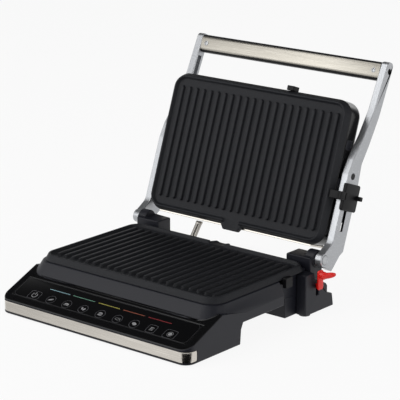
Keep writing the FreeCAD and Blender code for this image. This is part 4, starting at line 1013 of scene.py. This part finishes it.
@dataclass
class ControlPanel:
    """Glass on the slope with its printed bars, key outlines and pictograms, in slope axes."""

    half_width: float = 147.5
    start: float = 11.5
    length: float = 36.5
    thick: float = 1.8
    corner: float = 1.2
    edge: float = 0.25
    ink_low: float = -0.03
    ink_high: float = 0.05
    border_half: float = 146.4
    border_low: float = 12.2
    border_high: float = 47.2
    border_corner: float = 7.0
    border_line: float = 0.5
    bar_run: float = 37.0
    bar_wide: float = 1.0
    bar_corner: float = 0.4
    key_run: float = 20.0
    key_line: float = 0.55
    round_keys: tuple[float, ...] = (-85.0, -57.0, -28.5, 1.0, 30.0, 58.0)
    round_key_radius: float = 6.9
    # Middle and half sizes of the keys with square outlines.
    square_keys: tuple[Triple, ...] = ((-114.0, 9.0, 7.4), (86.6, 6.9, 6.9), (116.4, 9.0, 7.4))
    square_key_corner: float = 3.2
    bars: tuple[tuple[float, float, Ink], ...] = (
        (-101.0, -65.0, Ink.BLUE),
        (-60.0, -22.0, Ink.GREEN),
        (-16.0, 20.0, Ink.YELLOW),
        (26.0, 62.0, Ink.ORANGE),
        (68.0, 106.0, Ink.RED),
    )

    def build(self) -> None:
        """Builds the glass and everything printed on it."""
        low, high = (-self.half_width, self.start), (self.half_width, self.start + self.length)
        plan = rounded_outline(rounded_box(low, high, self.corner))
        add_piece(
            "panel_glass_sheet",
            prism(plan, -self.thick, 0.0, self.edge),
            Place.SLOPE,
            Look.PANEL_GLASS,
            "base",
            "panel_glass",
            ("control_panel_glass",),
        )
        low, high = (-self.border_half, self.border_low), (self.border_half, self.border_high)
        border = rounded_outline(rounded_box(low, high, self.border_corner), 10)[0]
        self.print_on("panel_border_line", [self.stroke(border, self.border_line, True)], Ink.DIM)
        half = self.bar_wide / 2
        for start, end, ink in self.bars:
            corners = rounded_box((start, self.bar_run - half), (end, self.bar_run + half), self.bar_corner)
            self.print_on(f"heat_bar_{ink.name.lower()}", [self.fill(rounded_outline(corners, 3)[0])], ink)
        self.print_on("key_outlines", self.outlines(), Ink.GREY)
        self.print_on("key_pictograms", self.pictograms(), Ink.WHITE)

    def print_on(self, name: str, marks: list[Shell], ink: Ink) -> None:
        """Makes printed marks into one piece on the glass."""
        add_piece(name, joined(marks), Place.SLOPE, ink, "base", "panel_glass")

    def stroke(self, path: np.ndarray, width: float, looped: bool = False) -> Shell:
        """Carries a flat rectangular section along a path, square to its local heading.

        Args:
            path: Across and along, in millimetres.
            width: Width of the line.
            looped: Whether the path closes on itself.

        Returns:
            The printed line.
        """
        if looped:
            heading = np.roll(path, -1, axis=0) - np.roll(path, 1, axis=0)
        else:
            heading = np.gradient(path, axis=0)
        heading = heading / np.linalg.norm(heading, axis=1, keepdims=True)
        side = np.stack([-heading[:, 1], heading[:, 0]]) * width / 2
        x, y = path.T[..., None] + side[..., None] * np.array([1.0, -1.0, -1.0, 1.0])
        tall = np.array([self.ink_low, self.ink_low, self.ink_high, self.ink_high])
        return skinned(x, y, tall, looped)

    def dash(self, x: float, y: float, half: float, width: float, sag: float = 0.0) -> Shell:
        """Prints a short level line through three points; the middle one may sag.

        Args:
            x: Middle across.
            y: Place along.
            half: Half its length.
            width: Width of the line.
            sag: How far the middle point is moved along.

        Returns:
            The printed line.
        """
        return self.stroke(np.array([(x - half, y), (x, y + sag), (x + half, y)]), width)

    def fill(self, outline: np.ndarray) -> Shell:
        """Prints a filled shape: its outline at two heights, closed above and below."""
        return skinned(*outline.T, np.array([[self.ink_low], [self.ink_high]]))

    def arc(
        self, x: float, y: float, across: float, along: float, start: float = 0.0, end: float = 360.0, tilt: float = 0.0
    ) -> np.ndarray:
        """Gives points on a tilted ellipse between two angles.

        Args:
            x: Middle across.
            y: Middle along.
            across: Half width.
            along: Half height.
            start: First angle in degrees.
            end: Last angle in degrees.
            tilt: Turn of the whole ellipse in degrees.

        Returns:
            Points in order; a full turn leaves out its last point.
        """
        angle = np.radians(np.linspace(start, end, 37)[: 36 if end - start >= 360 else 37])
        lean = math.radians(tilt)
        u, v = across * np.cos(angle), along * np.sin(angle)
        return np.stack(
            [x + u * math.cos(lean) - v * math.sin(lean), y + u * math.sin(lean) + v * math.cos(lean)], axis=1
        )

    def outlines(self) -> list[Shell]:
        """Draws the thin ring or rounded square round each key.

        Returns:
            The printed lines.
        """
        r, y = self.round_key_radius, self.key_run
        paths = [self.arc(x, y, r, r) for x in self.round_keys]
        for x, across, along in self.square_keys:
            corners = rounded_box((x - across, y - along), (x + across, y + along), self.square_key_corner)
            paths.append(rounded_outline(corners)[0])
        return [self.stroke(path, self.key_line, True) for path in paths]

    def pictograms(self) -> list[Shell]:
        """Draws a plain food or control sign in each key.

        Returns:
            The printed marks.
        """
        y = self.key_run
        power, menu, go = (key[0] for key in self.square_keys)
        sausage, toast, wings, burger, fish, steak = self.round_keys
        tails = [np.array([(3.2, 0.0), (4.4, 1.3 * way), (4.9, 1.8 * way)]) + (fish, y) for way in (1, -1)]
        return [
            self.stroke(self.arc(power, y, 4.0, 4.0, 125, 415), 0.9),
            self.stroke(np.array([(power, y + 1.0), (power, y + 3.0), (power, y + 5.0)]), 0.9),
            self.fill(self.arc(sausage, y, 4.2, 1.2, tilt=28)),
            self.fill(self.arc(toast, y - 0.6, 4.0, 2.4, 0, 180)),
            self.dash(toast, y - 1.7, 4.0, 0.8, -0.2),
            self.fill(self.arc(wings - 1.9, y + 0.6, 1.3, 2.4, tilt=25)),
            self.fill(self.arc(wings + 1.9, y - 0.2, 1.3, 2.4, tilt=-25)),
            self.fill(self.arc(burger, y + 0.7, 3.4, 2.3, 0, 180)),
            self.dash(burger, y - 0.3, 3.4, 0.7),
            self.fill(self.arc(burger, y - 1.3, 3.4, 1.6, 180, 360)),
            self.stroke(self.arc(fish, y, 3.3, 1.7), 0.5, True),
            *(self.stroke(tail, 0.5) for tail in tails),
            self.fill(self.arc(steak, y, 3.7, 2.3, tilt=-15)),
            *(self.dash(menu, y + lift, 2.8, 0.8) for lift in (-2.2, 0.0, 2.2)),
            self.fill(self.arc(go, y, 2.7, 2.7)),
            self.stroke(self.arc(go, y, 4.1, 4.1), 0.45, True),
        ]


@dataclass
class RibbedPlate:
    """One cast plate: sloped wall, rounded rim with a drain mouth, ribs with round ends and a spout."""

    name: str
    node: str
    body: str
    turned_over: bool
    middle: float
    level: float
    half_width: float = 145.0
    half_depth: float = 92.2
    corner: float = 17.0
    field: float = -4.6
    outline_gap: float = 1.5
    rib_count: int = 22
    rib_pitch: float = 12.57
    rib_length: float = 157.0
    rib_base: float = 3.1
    rib_end_points: int = 13
    mouth: float = 11.0
    mouth_blend: float = 3.0
    mouth_sill: float = 0.5
    # Distance out at which each of the spout's sections stands, and where they start to narrow.
    spout_runs: tuple[float, ...] = (89.5, 92.0, 95.5, 97.5, 100.0, 102.2, 103.1, 103.5)
    spout_narrows: float = 96.5
    spout_root: float = 17.7
    spout_tip: float = 12.25
    spout_under: float = -8.3
    # Height of the trough's sides, how deep it is and how far its edges roll over.
    trough: Triple = (-2.6, 1.6, 0.9)
    # How much the last section draws in from the sides, from above and from below.
    tip_round: Triple = (0.9, 0.8, 0.6)
    # Offset out from the rim's outline and height of the plate's section, from under the flange to the field.
    section: tuple[Pair, ...] = (
        (-7.0, -10.4),
        (-6.6, -8.6),
        (4.2, -8.4),
        (4.6, -8.1),
        (4.4, -7.4),
        (1.2, -1.3),
        (0.7, -0.5),
        (0.1, -0.1),
        (-0.5, 0.0),
        (-1.2, -0.1),
        (-1.7, -0.5),
        (-2.1, -1.3),
        (-3.2, -3.7),
        (-3.8, -4.3),
        (-4.6, -4.6),
    )
    # Offset out from a rib's base line and height of a rib's section, from the field to its flat top.
    rib_section: tuple[Pair, ...] = (
        (0.5, -5.0),
        (0.5, -4.64),
        (0.2, -4.54),
        (0.0, -4.25),
        (-0.4, -2.9),
        (-0.8, -1.6),
        (-0.98, -1.25),
        (-1.25, -1.05),
        (-1.65, -1.0),
    )

    def build(self) -> None:
        """Builds the plate as one piece and puts it where its CAD node is."""
        whole = joined([self.dish(), self.ribs(), self.spout()])
        if self.turned_over:
            place, sign = Place.LID, np.array([1, -1, -1])
        else:
            place, sign = Place.BENCH, np.array([1, 1, 1])
        shell = Shell(whole.points * sign + np.array([0, self.middle, self.level]), whole.faces)
        add_piece(self.name, shell, place, Look.NON_STICK, self.body, "plate_coating", (self.node,), sharp=40.0)

    def dish(self) -> Shell:
        """Carries the plate's section round its outline; the rim dips smoothly to the field at the drain mouth.

        Returns:
            The plate without ribs.
        """
        corners = rounded_box((-self.half_width, -self.half_depth), (self.half_width, self.half_depth), self.corner)
        points, normals = spaced(*rounded_outline(corners, 12), self.outline_gap)
        offset, height = np.array(self.section).T[..., None]
        x, y = points.T[:, None] + offset * normals.T[:, None]
        near = np.clip((self.mouth + self.mouth_blend - np.abs(points[:, 0])) / self.mouth_blend, 0, 1)
        near = near * (points[:, 1] > 0)
        dip = near * near * (3 - 2 * near)
        return skinned(x, y, height - dip * np.maximum(height - (self.field + self.mouth_sill), 0))

    def ribs(self) -> Shell:
        """Carries a rib's section round a slot shape, a line with half-round ends, and repeats it at the pitch.

        Returns:
            All ribs.
        """
        offset, height = np.array(self.rib_section).T[..., None]
        count = self.rib_end_points
        angle = np.concatenate([np.linspace(0, math.pi, count), np.linspace(math.pi, 2 * math.pi, count)])
        straight = (self.rib_length / 2 - self.rib_base) * np.repeat([1.0, -1.0], count)
        radius = self.rib_base + offset
        rib = skinned(radius * np.cos(angle), straight + radius * np.sin(angle), height)
        shifts = (np.arange(self.rib_count) - (self.rib_count - 1) / 2) * self.rib_pitch
        return joined([on_axes(rib, (0, 1, 2), (shift, 0, 0)) for shift in shifts])

    def spout(self) -> Shell:
        """Carries a rounded bar section with a trough in its top outward from the rim, narrowing to the tip.

        Returns:
            The grease spout.
        """
        sides, above, below = self.tip_round
        out = np.array(self.spout_runs)
        share = np.clip((out - self.spout_narrows) / (out[-1] - self.spout_narrows), 0, 1)
        half = self.spout_root + (self.spout_tip - self.spout_root) * share
        half[-1] -= sides
        across = np.concatenate([np.linspace(-1, 1, 25), np.linspace(1, -1, 9)])
        upper = np.arange(34) < 25
        # The fourth power gives the trough a flat floor, and the fourteenth rolls only the outer edges over.
        top, deep, roll = self.trough
        trough = top - deep * np.exp(-((across * 1.6) ** 4)) - roll * np.abs(across) ** 14
        z = np.tile(np.where(upper, trough, self.spout_under), (len(out), 1))
        z[-1] += np.where(upper, -above, below)
        return skinned(half[:, None] * across, out[:, None], z)


def screw_head(radius: float, proud: float, cross: float) -> Shell:
    """Domes a disc and sinks a cross in it: height falls with the square of the radius, less a smooth cross.

    Args:
        radius: Radius of the head.
        proud: Height of the dome.
        cross: Half width of the cross's arms.

    Returns:
        A head whose height axis points out of the surface.
    """
    share = np.concatenate([[1.0, 1.0], np.linspace(0.97, 0.04, 14)])[:, None]
    cos, sin = circle(64)
    x, y = radius * share * cos, radius * share * sin
    arm = np.minimum(np.abs(x), np.abs(y)) < cross
    deep = np.where(arm & (share < CROSS_SHARE), 0.55 * proud + HEAD_SUNK, 0.0)
    dome = proud * (1 - 0.75 * share**2) - deep
    dome[0] = -HEAD_SUNK
    return skinned(x, y, dome)


@dataclass
class ArmsAndHandle:
    """Cast arms with the handle between them, the height slider and the pivots, in lid axes."""

    inner: float = 152.2
    reach: float = 270.0
    tall: float = 24.8
    face_tall: float = 18.6
    front: float = 44.6
    face_thick: float = 2.6
    core_thick: float = 8.6
    shell_thick: float = 10.4
    face_crown: float = 0.5
    arm_edge: float = 1.2
    bar_edge: float = 0.3
    face_roll: float = 0.6
    core_corner: float = 2.4
    seam_corner: float = 0.4
    shell_corner: float = 7.0
    screw_x: float = 143.0
    screw_radius: float = 3.3
    screw_proud: float = 0.9
    screw_cross: float = 0.5
    # Middle of the slider's slot along and behind, how far from it a face of its walls may lie, and how much the
    # face may look sideways; the faces found get painted shade.
    slot_middle: Pair = (70.5, 22.3)
    slot_reach: Pair = (31.0, 3.6)
    slot_sideways: float = 0.3
    # Start and end along, front and back behind, inner and outer face, corner and edge radius of the slider's
    # block, tab, finger's root, stop finger, stem and keeper.
    slider_parts: tuple[tuple[float, ...], ...] = (
        (68.0, 104.0, 3.6, 36.5, 163.2, 168.8, 3.0, 1.3),
        (84.0, 90.0, 30.0, 35.6, 166.0, 176.2, 1.2, 0.8),
        (81.0, 92.0, -5.0, 8.0, 163.2, 168.8, 1.0, 1.0),
        (81.0, 92.0, -5.0, 6.0, 150.6, 166.0, 1.0, 0.5),
        (71.0, 99.7, 19.5, 25.1, 156.7, 166.0, 1.0, 0.3),
        (52.0, 99.7, 15.8, 28.8, 156.7, 159.1, 1.0, 0.4),
    )

    def build(self) -> None:
        """Builds and dresses arms, handle, slider and pins."""
        soften("arm_left", self.arm_edge, (Look.SILVER_LACQUER,))
        # The walls of the slider's slot take the black nylon finish as painted shade inside the slot.
        soften("arm_right", self.arm_edge, (Look.SILVER_LACQUER, Look.BLACK_NYLON), self.painted_shade_slot_walls)
        self.slider()
        self.handle()
        dress(Look.BLACK_OXIDE, "lid_pivot_pins", "handle_end_screws")
        dress(Look.SILVER_LACQUER, "hinge_bushes")

    def painted_shade_slot_walls(self, centres: np.ndarray, normals: np.ndarray) -> np.ndarray:
        """Picks the walls of the slider's slot for painted shade: the dark nylon finish in place of the arm's silver.

        Args:
            centres: Face middles in row-frame millimetres.
            normals: Face normals.

        Returns:
            Material number of each face.
        """
        origin, _, along, behind = np.array(Place.LID.value, float)
        spots = np.stack([(centres - origin) @ along, (centres - origin) @ behind], axis=1)
        away = np.abs(spots - self.slot_middle)
        return (away < self.slot_reach).all(axis=1) & (np.abs(normals[:, 0]) < self.slot_sideways)

    def slider(self) -> None:
        """Builds the height slider: each part is a rounded outline carried across the arm."""
        parts = []
        for start, end, front, back, inner, outer, corner, edge in self.slider_parts:
            plan = rounded_outline(rounded_box((start, front), (end, back), corner))
            parts.append(on_axes(prism(plan, inner, outer, edge), (2, 0, 1)))
        slot = SLOT_OF_NODE["height_slider"]
        add_piece(
            "height_slider_block", joined(parts), Place.LID, Look.BLACK_NYLON, "height_slider", slot, ("height_slider",)
        )

    def bar(self, name: str, outline: Outline, finish: Look, node: str) -> None:
        """Carries an outline of the handle straight from arm to arm.

        Args:
            name: The piece's name.
            outline: Points and normals on the axes along and behind.
            finish: The piece's finish.
            node: The CAD node that it takes the place of.
        """
        shell = on_axes(prism(outline, -self.inner, self.inner, self.bar_edge, 2), (2, 0, 1))
        add_piece(name, shell, Place.LID, finish, "arms", SLOT_OF_NODE[node], (node,), sharp=40.0)

    def face_outline(self) -> Outline:
        """Draws the face plate's section: a shallow crown whose edges roll back, and a flat back.

        Returns:
            Points and normals on the axes along and behind.
        """
        share = np.linspace(-1, 1, 15)
        middle, half = self.reach - self.tall / 2, self.face_tall / 2
        along = middle + share * half
        behind = self.front + self.face_crown * share**2 + self.face_roll * np.abs(share) ** 20
        lean = np.gradient(behind, along)
        normals = np.stack([lean, -np.ones_like(lean)], axis=1) / np.hypot(lean, 1.0)[:, None]
        back = self.front + self.face_thick
        points = np.concatenate([np.stack([along, behind], axis=1), [(middle + half, back), (middle - half, back)]])
        return points, np.concatenate([normals, [(0.7, 0.7), (-0.7, 0.7)]])

    def handle(self) -> None:
        """Builds the face plate, core, rear shell and face screws of the handle."""
        low, high = self.reach - self.tall, self.reach
        face_back = self.front + self.face_thick
        core_back = face_back + self.core_thick
        rear = core_back + self.shell_thick
        self.bar("handle_face", self.face_outline(), Look.BRUSHED_ALUMINIUM, "handle_face_plate")
        front, seam, round_back = self.core_corner, self.seam_corner, self.shell_corner
        core = [(low, face_back, front), (high, face_back, front), (high, core_back, seam), (low, core_back, seam)]
        self.bar("handle_bar_core", rounded_outline(core), Look.BLACK_NYLON, "handle_core")
        shell = [(low, core_back, seam), (high, core_back, seam), (high, rear, round_back), (low, rear, round_back)]
        self.bar("handle_back_shell", rounded_outline(shell, 10), Look.GREY_ABS, "handle_rear_shell")
        head = screw_head(self.screw_radius, self.screw_proud, self.screw_cross)
        forward = Shell(head.points * np.array([1, 1, -1]), head.faces)
        heads = [on_axes(forward, (0, 1, 2), (x, (low + high) / 2, self.front)) for x in (-self.screw_x, self.screw_x)]
        add_piece(
            "handle_screw_heads",
            joined(heads),
            Place.LID,
            Look.ZINC_STEEL,
            "arms",
            "steel_pins",
            ("handle_face_screws",),
        )


@dataclass
class Lid:
    """Upper shell with its steel cover, side pads, clip and inner pieces, in lid axes."""

    side: float = 150.0
    pad_proud: float = 0.8
    pad_sunk: float = 0.5
    pad_corner: float = 1.6
    pad_edge: float = 0.5
    # Start and end along, and front and back behind, of each raised pad on the lid's sides.
    pads: tuple[tuple[float, float, float, float], ...] = ((146.0, 159.0, 9.0, 22.0), (81.0, 108.0, 9.0, 20.0))
    # Node, radius of the rounded edges and finish of each softened piece.
    softened: tuple[tuple[str, float, Look], ...] = (
        ("lid_housing", 0.6, Look.GLOSS_ABS),
        ("lid_cover", 0.4, Look.BRUSHED_STEEL),
        ("upper_plate_clip", 0.8, Look.BLACK_NYLON),
    )

    def build(self) -> None:
        """Builds and dresses the lid; each side pad is a rounded outline carried outward, then mirrored."""
        for node, edge, look in self.softened:
            soften(node, edge, (look,))
        pads = []
        for start, end, front, back in self.pads:
            plan = rounded_outline(rounded_box((start, front), (end, back), self.pad_corner))
            pad = prism(plan, -self.pad_sunk, self.pad_proud, self.pad_edge)
            right = on_axes(pad, (2, 0, 1), (self.side, 0, 0))
            pads += [right, Shell(right.points * np.array([-1, 1, 1]), right.faces)]
        add_piece("lid_side_pads", joined(pads), Place.LID, Look.SATIN_ABS, "lid", "housing_plastic")
        dress(Look.RUBBER, "conduit_grommet")
        dress(Look.ALUMINISED_SHEET, "upper_reflector_pan", "upper_heating_element", "upper_temperature_sensor")


@dataclass
class Conduit:
    """Polished tube for the lid's wires, between base and arms."""

    x: float = -62.0
    low: Pair = (272.5, 55.0)
    high: Pair = (288.95, 76.9)
    radius: float = 4.4
    bead_proud: float = 0.5
    # How wide the two beads are and where they sit, as shares of the tube's length.
    bead_wide: float = 0.03
    beads: Pair = (0.09, 0.91)
    # Which way the lid's hem faces; the tube's upper end is cut square to it.
    hem: Pair = (0.3345, 0.9424)

    def build(self) -> None:
        """Carries a circle along the line from ferrule to hem.

        The radius swells to a bead near each end, and each ring slips along the tube so that the last one lies on the
        hem's own plane.
        """
        start, end = np.array(self.low), np.array(self.high)
        way = (end - start) / np.linalg.norm(end - start)
        side = np.array([-way[1], way[0]])
        share = np.linspace(0, 1, 33)[:, None]
        cos, sin = circle(32)
        bead = sum(np.exp(-(((share - at) / self.bead_wide) ** 2)) for at in self.beads)
        radius = self.radius + self.bead_proud * bead
        lift = radius * sin
        slip = -lift * share * (side @ self.hem) / (way @ self.hem)
        y, z = (start[k] + share * (end - start)[k] + lift * side[k] + slip * way[k] for k in range(2))
        tube = skinned(self.x + radius * cos, y, z)
        piece = add_piece(
            "wire_conduit_tube",
            tube,
            Place.BENCH,
            Look.POLISHED_TUBE,
            None,
            "inner_steel",
            ("cable_conduit",),
            sharp=50.0,
        )
        ends = Place.BENCH.put(np.array([[self.x, *self.low], [self.x, *self.high]]))
        tuple(ends[0])
        tuple(ends[1])
        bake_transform(piece)


@dataclass
class ReleaseLever:
    """Red lever beside the right tower: stem, upright blade, and a collar that draws out into a nib."""

    middle: Pair = (259.5, 54.5)
    width: float = 10.5
    low: float = 34.5
    high: float = 60.5
    back: float = 163.5
    thick: float = 3.0
    corner: float = 2.4
    edge: float = 0.8
    stem_from: float = 154.2
    stem_tall: float = 7.0
    stem_corner: float = 1.0
    stem_edge: float = 0.4
    stem_lap: float = 1.0
    # Where the nib's middle starts to drift, over what run, and how far back and up it gets.
    drift_from: float = 6.0
    drift_run: float = 13.0
    tip_shift: Pair = (5.0, 3.0)
    # Distance out from the blade's face and radius of the collar and nib.
    nib: tuple[Pair, ...] = (
        (-0.8, 5.2),
        (5.2, 5.2),
        (5.8, 5.0),
        (6.1, 4.6),
        (6.4, 4.4),
        (12.0, 4.0),
        (15.0, 3.5),
        (17.3, 2.8),
        (18.4, 2.1),
        (18.8, 1.4),
        (19.0, 0.5),
    )

    def build(self) -> None:
        """Builds the lever as one piece: blade and stem are rounded outlines carried outward."""
        y, half = self.middle[0], self.width / 2
        face = self.back + self.thick
        blade = rounded_outline(rounded_box((y - half, self.low), (y + half, self.high), self.corner))
        stem = rounded_outline(rounded_box((y, self.low), (y + half, self.low + self.stem_tall), self.stem_corner))
        parts = [
            on_axes(prism(blade, self.back, face, self.edge), (2, 0, 1)),
            on_axes(prism(stem, self.stem_from, self.back + self.stem_lap, self.stem_edge), (2, 0, 1)),
            self.drawn_nib(face),
        ]
        add_piece(
            "red_release_lever",
            joined(parts),
            Place.BENCH,
            Look.RED_ABS,
            "release_lever",
            "lever_plastic",
            ("release_lever",),
        )

    def drawn_nib(self, face: float) -> Shell:
        """Carries a circle outward: its radius follows the nib's profile and its middle drifts back and up.

        Args:
            face: Where the blade's outer face is.

        Returns:
            The collar and nib.
        """
        out, radius = np.array(self.nib).T[..., None]
        drift = np.clip((out - self.drift_from) / self.drift_run, 0, 1)
        cos, sin = circle(40)
        y = self.middle[0] + drift * self.tip_shift[0] + radius * cos
        z = self.middle[1] + drift * self.tip_shift[1] + radius * sin
        return skinned(face + out, y, z)


def main() -> None:
    """Builds every sub-assembly in order."""
    logging.basicConfig(level=logging.INFO)
    Studio().build()
    Casing().build()
    ControlPanel().build()
    RibbedPlate("lower_ribbed_plate", "lower_plate", "base", turned_over=False, middle=159.7, level=68.1).build()
    RibbedPlate("upper_ribbed_plate", "upper_plate", "lid", turned_over=True, middle=112.4, level=-1.4).build()
    ArmsAndHandle().build()
    Lid().build()
    Conduit().build()
    ReleaseLever().build()


if __name__ == "__main__":
    main()
